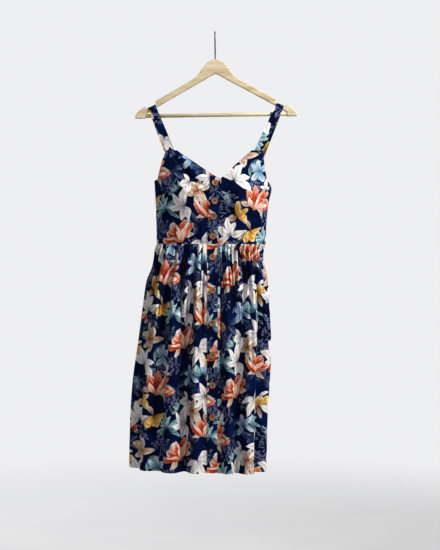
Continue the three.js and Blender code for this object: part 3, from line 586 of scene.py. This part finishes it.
class Nodes:
    """Short names for making the nodes of a material or a world."""

    def __init__(self, owner, shader="Principled BSDF"):
        owner.use_nodes = True
        self.owner, self.tree = owner, owner.node_tree
        self.shader = self.tree.nodes[shader]

    def put(self, kind, outlet=0, inputs=None, **settings):
        node = self.tree.nodes.new(kind)
        for key, value in settings.items():
            setattr(node, key, value)
        for key, value in (inputs or {}).items():
            self.join(value, node.inputs[key])
        return node.outputs[outlet]

    def join(self, value, socket):
        if isinstance(value, bpy.types.NodeSocket):
            self.tree.links.new(value, socket)
        else:
            socket.default_value = value

    def math(self, operation, a, b=0.0, c=0.0, clamp=False):
        return self.put("ShaderNodeMath", 0, {0: a, 1: b, 2: c}, operation=operation, use_clamp=clamp)

    def times(self, a, b):
        return self.math("MULTIPLY", a, b)

    def largest(self, a, b):
        return self.math("MAXIMUM", a, b)

    def line(self, value, slope, start, clamp=False):
        """slope times value, plus start."""
        return self.math("MULTIPLY_ADD", value, slope, start, clamp)

    def clipped(self, value, slope, start):
        """The same line, kept between 0 and 1."""
        return self.line(value, slope, start, True)

    def mix(self, factor, a, b, blend="MIX"):
        return self.put("ShaderNodeMix", 2, {0: factor, 6: a, 7: b}, data_type="RGBA", blend_type=blend)

    def ramp(self, factor, stops):
        ramp = self.put("ShaderNodeValToRGB", 0, {0: factor})
        elements = ramp.node.color_ramp.elements
        while len(elements) < len(stops):
            elements.new(0.5)
        for element, (place, code) in zip(elements, stops):
            element.position = place
            element.color = colour(code)
        return ramp

    def smooth_range(self, value, low, high, at_low, at_high):
        return self.put("ShaderNodeMapRange", 0, {0: value, 1: low, 2: high, 3: at_low, 4: at_high},
                        interpolation_type="SMOOTHSTEP")

    def noise(self, vector, scale, detail=2.0, rough=0.5):
        inputs = {"Vector": vector, "Scale": scale, "Detail": detail, "Roughness": rough}
        return self.put("ShaderNodeTexNoise", 0, inputs)

    def wave(self, vector, scale, distortion, direction):
        inputs = {"Vector": vector, "Scale": scale, "Distortion": distortion}
        return self.put("ShaderNodeTexWave", 0, inputs, bands_direction=direction)

    def bump(self, height, distance, strength, **below):
        inputs = {"Height": height, "Distance": distance, "Strength": strength, **below}
        return self.put("ShaderNodeBump", 0, inputs)

    def in_place(self):
        return self.put("ShaderNodeTexCoord", "Object")

    def set(self, **values):
        for key, value in values.items():
            self.join(value, self.shader.inputs[key.replace("_", " ")])


def new_material(name):
    return Nodes(bpy.data.materials.new(name))


GROUND = [(0.3, "020B28"), (0.52, "041944"), (0.7, "082964")]
LINE_INK, WRONG_SIDE_TINT, WEAVE_SHADOW = "A2A8C8", "8C8FA4", "3A3A40"

# Layer: colours from a petal's base to its tip, dark and pale strokes, how far dry strokes show the ground
INKS = {
    "slate": ([(0, "13234A"), (0.5, "31436A"), (1, "6C7C98")], "0C183A", "A4B0C4", 0.7),
    "teal": ([(0, "1C3A4C"), (0.35, "4A7C84"), (0.7, "86AFB2"), (1, "BFD8D6")], "152E42", "E2ECEA", 0.7),
    "pale": ([(0, "5C7FA0"), (0.5, "A6C0D2"), (1, "E0EAF0")], "3E5E86", "F6F9FB", 0.5),
    "beige": ([(0, "664434"), (0.35, "A98A70"), (0.7, "D2C0AB"), (1, "EEE5DA")], "523428", "F6EEE3", 0.55),
    "white": ([(0, "A8A2AA"), (0.25, "E2DEDC"), (1, "F3EFEB")], "4C4E62", "FAF8F5", 0),
    "yellow": ([(0, "8A5412"), (0.4, "CE962C"), (0.75, "E6C064"), (1, "F4E6B8")], "6E4612", "FAF1D2", 0.45),
    "coral": ([(0, "64140A"), (0.4, "A62F15"), (0.8, "CE5832"), (1, "EEB89A")], "541108", "FBE6D6", 0.6),
    "cream": ([(0, "A8502E"), (0.4, "E2B498"), (0.8, "F4E2D2"), (1, "F8EEE4")], "8E3C20", "FDF8F2", 0.45),
}

# Scales of the noise and the weave on the flat cloth, for each metre
EDGE_WOBBLE, FINE, BLOTCH, CRUSH, WEAVE = (330, 90), 900, 14, 60, 320.0

# How the brush's noise stretches along, across and from blotch to blotch, and its scales
BRUSH, STROKE, HAIR = (1.1, 2.8, 3.0), 2.3, 5.5
WOBBLE, LINE_STRENGTH, WRONG_SIDE_FADE, WEAVE_DEPTH = 1.6, 0.9, 0.45, 0.16


def printed_cloth(name, wrong_side):
    """Plain weave with the print's layers over a navy ground, each petal brushed along its length."""
    n = new_material(name)
    uv = n.put("ShaderNodeUVMap", uv_map="FlatCloth")
    wobble = n.math("ADD", *[n.math("SUBTRACT", n.noise(uv, scale), 0.5) for scale in EDGE_WOBBLE])
    fine, blotch = n.noise(uv, FINE), n.noise(uv, BLOTCH, 3)
    picture = n.ramp(n.math("ADD", n.times(blotch, 0.8), n.times(fine, 0.2)), GROUND)

    def petal(layer):
        field = n.put("ShaderNodeAttribute", "Vector", attribute_name=f"print_{layer}")
        edge, along, across = n.put("ShaderNodeSeparateXYZ", 0, {0: field}).node.outputs
        return n.line(wobble, WOBBLE, edge), along, across

    edge, _, across = petal("line")
    outline = n.times(n.clipped(edge, 1.8, 0.65), n.clipped(edge, -1.0, 1.2))
    rib = n.times(n.clipped(n.math("ABSOLUTE", across), -5.0, 1.0), n.clipped(edge, 2.0, 0.2))
    picture = n.mix(n.times(n.largest(outline, rib), LINE_STRENGTH), picture, colour(LINE_INK))
    for layer, (stops, dark, pale, gaps) in INKS.items():
        edge, along, across = petal(layer)
        stretched = [n.times(value, by) for value, by in zip((along, across, blotch), BRUSH)]
        brush = n.put("ShaderNodeCombineXYZ", 0, dict(enumerate(stretched)))
        stroke, hair = n.noise(brush, STROKE, 3, 0.6), n.noise(brush, HAIR)
        dry = n.times(n.clipped(hair, 7.0, -4.0), n.clipped(along, 1.6, -0.3))
        inside = n.times(n.clipped(edge, 1.4, 0.5), n.clipped(dry, -gaps, 1.0))
        ink = n.ramp(n.math("ADD", along, n.line(stroke, 1.6, -0.8)), stops)
        ink = n.mix(n.clipped(stroke, 6.0, n.line(across, 0.7, -3.3)), ink, colour(pale))
        rib = n.times(n.clipped(n.math("ABSOLUTE", across), -5.4, 1.0), n.clipped(along, -1.3, 1.15))
        veins, rim = n.clipped(hair, -9.0, 3.4), n.clipped(edge, -0.9, 1.0)
        marks = n.largest(n.times(rib, 0.8), n.largest(n.times(veins, 0.75), n.times(rim, 0.5)))
        picture = n.mix(inside, picture, n.mix(marks, ink, colour(dark)))
    if wrong_side:
        picture = n.mix(WRONG_SIDE_FADE, picture, colour(WRONG_SIDE_TINT))
    weave = n.times(n.wave(uv, WEAVE, 0.4, "X"), n.wave(uv, WEAVE, 0.4, "Y"))
    shadow = n.mix(weave, colour(WEAVE_SHADOW), colour("FFFFFF"))
    picture = n.mix(WEAVE_DEPTH, picture, shadow, "MULTIPLY")
    crush = n.bump(n.noise(uv, CRUSH, 4, 0.6), 0.0012, 0.35)
    n.set(Base_Color=picture, Roughness=n.line(fine, 0.15, 0.72), Specular_IOR_Level=0.04,
          Normal=n.bump(weave, 0.00012, 0.5, Normal=crush), Sheen_Weight=0.012, Sheen_Roughness=0.5)
    return n.owner


def wood(name, light, middle, dark, stretch, scale, rough, coat):
    n = new_material(name)
    grain_at = n.put("ShaderNodeMapping", 0, {"Vector": n.in_place(), "Scale": stretch})
    grain, pores = n.noise(grain_at, scale, 5, 0.6), n.noise(grain_at, scale * 6, 2, 0.7)
    tone = n.ramp(n.line(pores, 0.25, n.times(grain, 0.8)), [(0.32, dark), (0.5, middle), (0.68, light)])
    n.set(Base_Color=tone, Roughness=n.line(grain, 0.2, rough), Normal=n.bump(pores, 0.0001, 0.35),
          Coat_Weight=coat, Coat_Roughness=0.3)
    return n.owner


def steel(name):
    n = new_material(name)
    marks = n.noise(n.in_place(), 900, 3, 0.6)
    n.set(Base_Color=n.ramp(marks, [(0.35, "3E3E42"), (0.6, "6C6C70")]), Metallic=1.0,
          Roughness=n.line(marks, 0.2, 0.28), Normal=n.bump(marks, 0.0001, 0.2))
    return n.owner


def thread_material(name, code):
    n = new_material(name)
    twist = n.wave(n.in_place(), 900.0, 1.0, "DIAGONAL")
    base = colour(code)
    shadow = (*[0.7 * c for c in base[:3]], 1)
    n.set(Base_Color=n.mix(twist, shadow, base), Roughness=0.7, Normal=n.bump(twist, 0.0001, 0.4))
    return n.owner


OUTSIDE, INSIDE = printed_cloth("printed_cloth", False), printed_cloth("printed_cloth_wrong_side", True)
THREAD = thread_material("navy_thread", "2A3A6E")
BUTTON_THREAD = thread_material("button_thread", "3A2A22")
BUTTON_WOOD = wood("button_wood", "AE865C", "8A6442", "553A26", (1, 1, 1), 160, 0.38, 0.25)
HANGER_WOOD = wood("hanger_wood", "D0C8B0", "C6B89A", "AE9A78", (0.16, 1, 1), 90, 0.45, 0.12)
STEEL = steel("hook_steel")


# Placing pieces

def finish_piece(thing, slot, *nodes):
    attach(thing, "root")
    if nodes:
        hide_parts(*nodes)


# Where each piece starts in the repeat, and how wide a stretch of it each panel shows
PRINT_SHIFT = {
    "bodice_front_left": (68, 78), "bodice_front_right": (52, 164), "bodice_back": (230, 40),
    "bodice_band": (240, 48), "skirt_front_left": (190, 30), "skirt_front_right": (60, 160),
    "skirt_back": (10, 90), "skirt_band": (236, 150), "strap_left": (64, 180), "strap_right": (120, 148),
}
PRINT_WIDTH = {
    "bodice": {"left": 190, "right": 205, "back": 330},
    "skirt": {"left": 280, "right": 315, "back": 560},
}


def cloth_piece(node, points, outward, flat, thickness=CLOTH, inside=INSIDE):
    """The shell that stands for a cloth node, its print laid on the flat cloth; the node itself is hidden."""
    flat = flat + np.array(PRINT_SHIFT[node])
    thing = cloth_shell(f"{node}_cloth", points, outward, thickness, flat, [OUTSIDE, inside])
    finish_piece(thing, "printed_cloth", node)


# Columns and rows of each shell's grid, and the power that packs the skirt's rows towards the waist
GRIDS = {
    "bodice": {"left": (121, 141), "right": (121, 141), "back": (181, 91), "band": (29, 121)},
    "skirt": {"left": (201, 241), "right": (201, 241), "back": (361, 211), "band": (29, 301)},
}
ROW_PACKING = 1.08

# Rows of stitches for each part of the dress: points, normals, thickness of the cloth
stitch_lines = {"bodice": [], "skirt": []}
EDGE_STITCH, HEM_STITCH, BAND_STITCH = 4, 16, 1.6

# Share of a bodice front's top edge that the button band covers
EDGE_UNDER_BAND = 0.09


def panel_name(piece, side):
    return f"{piece}_back" if side == "back" else f"{piece}_front_{side}"


def panel_grid(piece, side):
    columns, rows = GRIDS[piece][side]
    return np.meshgrid(np.linspace(0, 1, columns), np.linspace(0, 1, rows))


def signed_share(side, share):
    return -share if side == "right" else share


def top_z(side, share):
    corners = [(OVALS["bodice", side].share_at_x(x, z), z) for x, z in TOP_EDGES[side]]
    return np.interp(share, *np.array(corners).T)


def bodice_panel(side):
    share, part = panel_grid("bodice", side)
    rows, columns = share.shape
    top = top_z(side, share)
    z = top + (WAIST_Z + SEAM_HALF - top) * part
    points, outward = cloth_points("bodice", side, share, z)
    flat = np.stack([signed_share(side, share) * PRINT_WIDTH["bodice"][side], -z], -1)
    cloth_piece(panel_name("bodice", side), points, outward, flat)
    column = np.arange(0 if side == "back" else int(columns * EDGE_UNDER_BAND), columns)
    depth = EDGE_STITCH / np.maximum(top[0] - WAIST_Z, 1)
    row = np.clip((depth * (rows - 1)).round().astype(int), 0, rows - 1)[column]
    stitch_lines["bodice"].append((points[row, column], grid_normals(points, outward)[row, column], CLOTH))


def skirt_panel(side):
    share, part = panel_grid("skirt", side)
    drop = SEAM_HALF + (SKIRT_DROP - SEAM_HALF) * part ** ROW_PACKING
    plain_x = OVALS["skirt", side].read(share, WAIST_Z - drop)[0]
    z = WAIST_Z - drop - HEM_SLOPE * plain_x * drop / SKIRT_DROP
    points, outward = cloth_points("skirt", side, share, z)
    far = travelled(points)
    flat = np.stack([signed_share(side, far / far[:, -1:]) * PRINT_WIDTH["skirt"][side], drop], -1)
    cloth_piece(panel_name("skirt", side), points, outward, flat)
    row = np.argmin(np.abs(drop[:, 0] - (SKIRT_DROP - HEM_STITCH)))
    stitch_lines["skirt"].append((points[row], grid_normals(points, outward)[row], CLOTH))


# Relief of the band by its edge stitching: height, distance from the edge, spread
BAND_RELIEF = [(0.35, 3.2, 2.5), (-0.25, 1.6, 0.8)]


def band_strip(piece):
    """The button band: the two fronts beside the middle, moved out to lie on them."""
    columns, rows = GRIDS[piece]["band"]
    place, part = np.linspace(-BAND_HALF, BAND_HALF, columns), np.linspace(0, 1, rows)
    grid, outward = [], []
    for column in place:
        side = "right" if column < 0 else "left"
        if piece == "bodice":
            (_, middle_z), (_, corner_z) = TOP_EDGES[side][:2]
            top = middle_z + (corner_z - middle_z) * abs(column) / BAND_HALF
            z = top + (WAIST_Z + SEAM_HALF - top) * part
        else:
            slant = HEM_SLOPE * (SKIRT_MIDDLE_X + column) * part
            z = WAIST_Z - SEAM_HALF - part * (SKIRT_DROP - SEAM_HALF) - slant
        length = OVALS[piece, side].read(np.zeros(rows), z)[4]
        points, out = cloth_points(piece, side, abs(column) / length, z)
        grid.append(points + out * BAND_LIFT)
        outward.append(out)
    points, outward = np.stack(grid, 1), np.stack(outward, 1)
    flat = np.stack([np.broadcast_to(place, points.shape[:2]), -points[..., 2]], -1)
    normals = grid_normals(points, outward)
    away = (BAND_HALF - np.abs(place))[:, None]
    points = points + normals * sum(h * np.exp(-((away - at) ** 2) / spread) for h, at, spread in BAND_RELIEF)
    cloth_piece(f"{piece}_band", points, outward, flat)
    for edge in (-BAND_HALF + BAND_STITCH, BAND_HALF - BAND_STITCH):
        c = np.argmin(np.abs(place - edge))
        stitch_lines[piece].append((points[2:-2, c], normals[2:-2, c], CLOTH))


def tilted(x, y, z):
    """A point of the level hanger, as it hangs."""
    c, s = math.cos(HANGER_TILT), math.sin(HANGER_TILT)
    return np.array([x * c + z * s, y, -x * s + z * c])


# Rows of a strap's straight runs and of each bend over the board, and the row dropped to leave an odd number
STRAP_COLUMNS, STRAP_RUN, STRAP_BEND, STRAP_SPARE_ROW = 13, 60, 9, 30


def strap(side):
    """A strap from its front corner, over the board in the notch and down to the back."""
    sign = 1 if side == "left" else -1

    def seat(panel, xs, z):
        shares = np.array([OVALS["bodice", panel].share_at_x(x, z) for x in xs])
        ends = cloth_points("bodice", panel, shares, np.full(2, float(z)))[0]
        return ends.mean(0) + (0, 0, STRAP_LIFT), unit((ends[1] - ends[0]) * (1, 1, 0))

    def over_board(first, over, last):
        run = np.linspace(0, 1, STRAP_RUN)[:, None]
        up, down = first + (over[0] - first) * run, over[-1] + (last - over[-1]) * run
        return np.delete(np.concatenate([up[:-1], over, down[1:]]), STRAP_SPARE_ROW, 0)

    front, front_across = seat(side, STRAP_FRONT_X[side], STRAP_CORNER_Z)
    back_xs = [sign * (STRAP_BACK_X + half) for half in (-STRAP_WIDTH / 2, STRAP_WIDTH / 2)]
    back, back_across = seat("back", back_xs, STRAP_BACK_Z)
    edge, deep = BOARD["edge"], BOARD["thickness"] / 2 - BOARD["edge"]
    clear = edge + GAP + STRAP_WALL / 2
    arc = [tilted(sign * NOTCH["x"], y + clear * math.cos(a), NOTCH["z"] - edge + clear * math.sin(a))
           for y, start, end in ((-deep, 180, 90), (deep, 90, 0))
           for a in np.radians(np.linspace(start, end, STRAP_BEND))]
    over_across = tilted(sign * math.cos(NOTCH["slope"]), 0, -math.sin(NOTCH["slope"]))
    path = over_board(front, arc, back)
    turn = unit(over_board(front_across, [over_across] * len(arc), back_across))
    across = np.linspace(-0.5, 0.5, STRAP_COLUMNS) * STRAP_WIDTH
    points = path[:, None] + turn[:, None] * across[:, None]
    facing = unit(np.cross(np.gradient(path, axis=0), turn))
    outward = np.repeat((facing * -np.sign(facing[0, 1]))[:, None], STRAP_COLUMNS, 1)
    flat = np.stack(np.broadcast_arrays(across, travelled(path)[:, None]), -1)
    cloth_piece(f"strap_{side}", points, outward, flat, STRAP_CLOTH, OUTSIDE)
    for c in (1, STRAP_COLUMNS - 2):
        stitch_lines["bodice"].append((points[:, c], outward[:, c], STRAP_CLOTH))


STITCH = {"pitch": 3.4, "long": 2.3, "wide": 0.5, "high": 0.3, "lift": 0.05, "ahead": 0.6}
STITCH_FACES = np.array([(0, 2, 4), (2, 1, 4), (1, 3, 4), (3, 0, 4), (0, 3, 2), (2, 3, 1)])


def stitches(part):
    """Rows of short raised stitches along one part's stitch lines, all in one mesh."""
    corners = []
    for points, normals, thickness in stitch_lines[part]:
        far = travelled(points)
        at = np.arange(STITCH["pitch"], far[-1] - STITCH["pitch"], STITCH["pitch"])
        centre, ahead, out = (np.stack([np.interp(at + step, far, column) for column in values.T], -1)
                              for step, values in ((0, points), (STITCH["ahead"], points), (0, normals)))
        ahead, out = unit(ahead - centre), unit(out)
        aside, ahead = np.cross(ahead, out) * STITCH["wide"] / 2, ahead * STITCH["long"] / 2
        centre = centre + out * (thickness / 2 + STITCH["lift"])
        top = centre + out * STITCH["high"]
        corners.append(np.stack([centre - ahead, centre + ahead, centre + aside, centre - aside, top], 1))
    corners = np.concatenate(corners)
    faces = (np.arange(len(corners))[:, None, None] * corners.shape[1] + STITCH_FACES).reshape(-1, 3)
    thing = new_object(f"stitching_{part}", corners.reshape(-1, 3) * MM, faces.tolist(), [THREAD])
    finish_piece(thing, "printed_cloth")


# Buttons

# radius, height of the turned profile, from the middle of the back round to the middle of the face
BUTTON_PROFILE = [(0, 0), (7.6, 0), (8.5, 0.45), (8.95, 1.2), (8.9, 2.1), (8.4, 2.9), (7.6, 3.2), (6.7, 3.05),
                  (5.9, 2.55), (5, 2.3), (2.5, 2.15), (0, 2.1)]
BUTTON_SIDES, BUTTON_MIDDLE = 40, 1.6
HOLE = {"x": 2.3, "radius": 1.15, "sides": 14, "heights": (1.2, 2.3)}
STRAND = {"y": 0.5, "radius": 0.42, "sides": 6, "rows": 9, "height": 2.2, "rise": 0.8}
BUTTON_COUNTS, BUTTON_SEED = {"bodice": 4, "skirt": 6}, 40


def node_place(name):
    """Middle and facing of a flat round node, from the solid itself."""
    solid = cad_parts[name]
    points = np.array([solid.matrix_world @ v.co for v in solid.data.vertices])
    thin = np.linalg.svd(points - points.mean(0), full_matrices=False)[2][2]
    return (points.min(0) + points.max(0)) / 2, thin * -np.sign(thin[1])


def button(name, turn):
    """A turned disc with a dished face, and its thread: two filled holes with two strands between them."""
    middle, facing = node_place(name)
    up = unit(np.array([0, 0, 1.0]) - facing * facing[2])
    side = np.cross(up, facing)
    c, s = math.cos(turn), math.sin(turn)
    along, aside = side * c + up * s, up * c - side * s

    def place(x, y, h):
        return middle + (along * x + aside * y + facing * (h - BUTTON_MIDDLE)) * MM

    vertices, rings, faces = [], [], []
    for radius, height in BUTTON_PROFILE:
        ring = [place(u, v, height) for u, v in radius * circle(BUTTON_SIDES if radius else 1)]
        rings.append(range(len(vertices), len(vertices) + len(ring)))
        vertices += ring
    for p, q in zip(rings, rings[1:]):
        for k in range(BUTTON_SIDES):
            corners = (p[k % len(p)], q[k % len(q)], q[(k + 1) % len(q)], p[(k + 1) % len(p)])
            faces.append(tuple(dict.fromkeys(corners)))
    finish_piece(new_object(f"{name}_disc", vertices, faces, [BUTTON_WOOD]), "button", name)

    hole = HOLE["radius"] * circle(HOLE["sides"])
    tubes = [[[place(x + u, v, h) for u, v in hole] for h in HOLE["heights"]]
             for x in (-HOLE["x"], HOLE["x"])]
    strand = STRAND["radius"] * circle(STRAND["sides"])
    arch = [(HOLE["x"] * (2 * t - 1), STRAND["height"] + STRAND["rise"] * math.sin(math.pi * t))
            for t in np.linspace(0, 1, STRAND["rows"])]
    tubes += [[[place(x, y + u, h + v) for u, v in strand] for x, h in arch]
              for y in (-STRAND["y"], STRAND["y"])]
    vertices, faces = [], []
    for rings in tubes:
        faces += tube_faces(len(rings), len(rings[0]), len(vertices))
        vertices += [point for ring in rings for point in ring]
    finish_piece(new_object(f"{name}_thread", vertices, faces, [BUTTON_THREAD]), "button")


# Hanger

# Outline of half the board, x and z from its top: the hump, the rounded end above the block, the underside
HUMP = [(0, 0), (10, -1.5), (22, -8.5), (36, -25), (52, -46), (70, -59), (90, -70)]
ROUNDED_END = [(198, -129), (206, -134), (216, -143), (221, -151)]
UNDERSIDE = [(158, -126), (99, -93), (30, -55), (12, -44)]
HUMP_POINTS, END_POINTS, BEVEL_STEPS, HOOK_LOOP_POINTS, HOOK_POINTS = 28, 14, 5, 15, 150


def spline(corners, count):
    """Smooth curve through the corners, as evenly numbered points."""
    p = np.array(corners, float)
    out = []
    for t in np.linspace(0, len(p) - 1, count):
        i = min(int(t), len(p) - 2)
        w = t - i
        p0, p1, p2, p3 = p[max(i - 1, 0)], p[i], p[i + 1], p[min(i + 2, len(p) - 1)]
        v0, v1 = (p2 - p0) / 2, (p3 - p1) / 2
        cubic, square = 2 * p1 - 2 * p2 + v0 + v1, 3 * p2 - 3 * p1 - 2 * v0 - v1
        out.append(cubic * w ** 3 + square * w * w + v0 * w + p1)
    return out


def arm_outline():
    top, corner, end_x, block_x = BOARD["top_z"], NOTCH["corner"], BOARD["end_x"], BOARD["block_x"]
    low = BOARD["end_z"] - top
    across = np.array([math.cos(NOTCH["slope"]), -math.sin(NOTCH["slope"])])
    lip = np.array([-across[1], across[0]]) * corner
    floor = np.array([NOTCH["x"], NOTCH["z"] - top])
    inner, outer = floor - across * NOTCH["width"] / 2, floor + across * NOTCH["width"] / 2
    notch = [inner + lip * NOTCH["lips"][0], inner + lip, inner + across * corner,
             outer - across * corner, outer + lip, outer + lip * NOTCH["lips"][1]]
    end = spline(ROUNDED_END + [(end_x, low + BOARD["edge"])], END_POINTS)
    block = [(end_x - BOARD["edge"], low), (block_x, low), (block_x, BOARD["block_z"] - top)]
    return [*spline(HUMP, HUMP_POINTS), *notch, *end, *block, *UNDERSIDE]


def swept(name, rings, material, slot, node):
    """A hanger piece through level rings of points, tilted as it hangs, with smooth sides and flat ends."""
    vertices = np.array([tilted(*point) for ring in rings for point in ring]) * MM
    faces = tube_faces(len(rings), len(rings[0]))
    thing = new_object(name, vertices, faces, [material])
    thing.data.polygons.foreach_set("use_smooth", [len(f) == 4 for f in faces])
    finish_piece(thing, slot, node)


def hanger_board():
    half = arm_outline()
    outline = np.array(half + [(0, BOARD["under_z"])] + [(-x, z) for x, z in half[:0:-1]])
    steps = np.roll(outline, -1, 0) - outline, outline - np.roll(outline, 1, 0)
    inward = sum(unit(np.stack([-d[:, 1], d[:, 0]], -1)) for d in steps)
    inward *= -2 / np.maximum((inward ** 2).sum(1, keepdims=True), 0.5)
    edge, deep = BOARD["edge"], BOARD["thickness"] / 2 - BOARD["edge"]
    bevel = np.linspace(0, math.pi / 2, BEVEL_STEPS)
    rings = []
    for front, angles in ((-1, bevel), (1, bevel[::-1])):
        for a in angles:
            y = front * (deep + edge * math.cos(a))
            rings.append([(x, y, z + BOARD["top_z"]) for x, z in outline + inward * edge * (1 - math.sin(a))])
    swept("hanger_board_wood", rings, HANGER_WOOD, "hanger_wood", "hanger_board")


def hanger_bar():
    reach, radius, chamfer = BOARD["block_x"] - GAP, BAR["radius"], BAR["chamfer"]
    right_end = [(reach - chamfer, radius), (reach, radius - chamfer)]
    ends = [(-x, size) for x, size in right_end[::-1]] + right_end
    rings = [[(x, u, BAR["z"] + v) for u, v in size * circle(BAR["sides"])] for x, size in ends]
    swept("hanger_bar_wood", rings, HANGER_WOOD, "hanger_wood", "hanger_bar")


def hanger_hook():
    radius, top, neck = HOOK["inside"] + HOOK["wire"] / 2, BOARD["top_z"], HOOK["neck_z"]
    turns = np.radians(np.linspace(HOOK["tip"], HOOK["leave"], HOOK_LOOP_POINTS))
    loop = [(radius * math.cos(a), radius * math.sin(a) - HOOK["inside"]) for a in turns]
    path = np.array(spline(loop + [(0, neck), (0, (neck + top) / 2), (0, top + GAP)], HOOK_POINTS))
    sizes = np.full(HOOK_POINTS, HOOK["wire"] / 2)
    sizes[:len(HOOK["taper"])] *= HOOK["taper"]
    rings = [[(u, y - dz * v, z + dy * v) for u, v in size * circle(HOOK["sides"])]
             for (y, z), (dy, dz), size in zip(path, unit(np.gradient(path, axis=0)), sizes)]
    swept("hanger_hook_wire", rings, STEEL, "hook_steel", "hanger_hook")


for side in FRONTS:
    bodice_panel(side)
    skirt_panel(side)
    strap(side)
bodice_panel("back")
skirt_panel("back")
for part in BUTTON_COUNTS:
    band_strip(part)
for part in stitch_lines:
    stitches(part)
for part, count in BUTTON_COUNTS.items():
    for i in range(count):
        button(f"button_{part}_{i + 1}", float(uneven(i + BUTTON_SEED)) * math.pi)
hanger_board()
hanger_bar()
hanger_hook()

# Floor, light and camera, in metres

FLOOR_Z, FLOOR_RADIUS, FLOOR_SIDES, FLOOR_FADE = -1.75, 3.6, 96, 0.3
BACKDROP, GAMMA = (0.3, 0.95, 0), 0.80

# Strength of the world round about and overhead: from, to, strength at both
ROUND_ABOUT, OVERHEAD = (-0.7, 0.9, 0.46, 0.9), (0.3, 0.6, 1.0, 0.22)

# name, place, target, size, power, tint
LAMPS = [
    ("key", (1.6, -1.1, 1.0), (0, 0, -0.4), 0.5, 84, (1, 0.985, 0.96)),
    ("fill", (-0.9, -1.7, 0.9), (0, 0, -0.25), 0.9, 6, (0.95, 0.97, 1)),
    ("rear", (-1.5, 2.6, 0.8), (0, 0, -0.7), 1.6, 60, (1, 1, 1)),
]

# The picture is 440 by 550, and the top of the hanger's board is at HANGER_PIXEL in it, three metres away.
PICTURE, HANGER_PIXEL = (440, 550), (214.8, 59.6)
PIXEL, AWAY, SENSOR = 2.75 * MM, 3.0, 36
scene = bpy.context.scene


def floor_disc():
    """A pale round floor that fades out towards its edge."""
    n = new_material("floor")
    place = n.in_place()
    away = n.put("ShaderNodeVectorMath", "Value", {0: place, 1: (0, 0, FLOOR_Z)}, operation="DISTANCE")
    n.set(Base_Color=n.ramp(n.noise(place, 2.5, 3), [(0.3, "E0E0E2"), (0.7, "E6E6E7")]), Roughness=0.9,
          Alpha=n.smooth_range(away, FLOOR_FADE * FLOOR_RADIUS, FLOOR_RADIUS, 1.0, 0.0))
    ring = [(x, y, FLOOR_Z) for x, y in FLOOR_RADIUS * circle(FLOOR_SIDES)]
    new_object("floor", ring, [tuple(range(FLOOR_SIDES))], [n.owner], smooth=False)


def area_light(name, place, target, size, power, tint):
    data = bpy.data.lights.new(name, "AREA")
    data.shape, data.size, data.energy, data.color = "DISK", size, power, tint
    lamp = bpy.data.objects.new(name, data)
    lamp.location = place
    lamp.rotation_euler = (Vector(target) - Vector(place)).to_track_quat("-Z", "Y").to_euler()
    scene.collection.objects.link(lamp)


def studio():
    """A world that is pale all round at eye level, palest behind the dress, and dimmer overhead and below."""
    n = Nodes(bpy.data.worlds.new("studio"), "Background")
    way = n.put("ShaderNodeTexCoord", "Generated")
    height = n.math("ABSOLUTE", n.put("ShaderNodeSeparateXYZ", "Z", {0: way}))
    behind = n.put("ShaderNodeVectorMath", "Value", {0: way, 1: BACKDROP}, operation="DOT_PRODUCT")
    strength = n.times(n.smooth_range(behind, *ROUND_ABOUT), n.smooth_range(height, *OVERHEAD))
    n.set(Color=(0.985, 0.985, 1, 1), Strength=strength)
    scene.world = n.owner


def add_camera():
    camera = bpy.data.objects.new("camera", bpy.data.cameras.new("camera"))
    half_x, half_y = PICTURE[0] / 2, PICTURE[1] / 2
    camera.data.sensor_width = SENSOR
    camera.data.lens = SENSOR / 2 * AWAY / (half_y * PIXEL)
    camera.location = ((half_x - HANGER_PIXEL[0]) * PIXEL, -AWAY,
                       BOARD["top_z"] * MM - (half_y - HANGER_PIXEL[1]) * PIXEL)
    camera.rotation_euler = (math.pi / 2, 0, 0)
    scene.collection.objects.link(camera)
    scene.camera = camera


floor_disc()
for lamp in LAMPS:
    area_light(*lamp)
studio()
scene.view_settings.view_transform = "Standard"
scene.view_settings.gamma = GAMMA
add_camera()
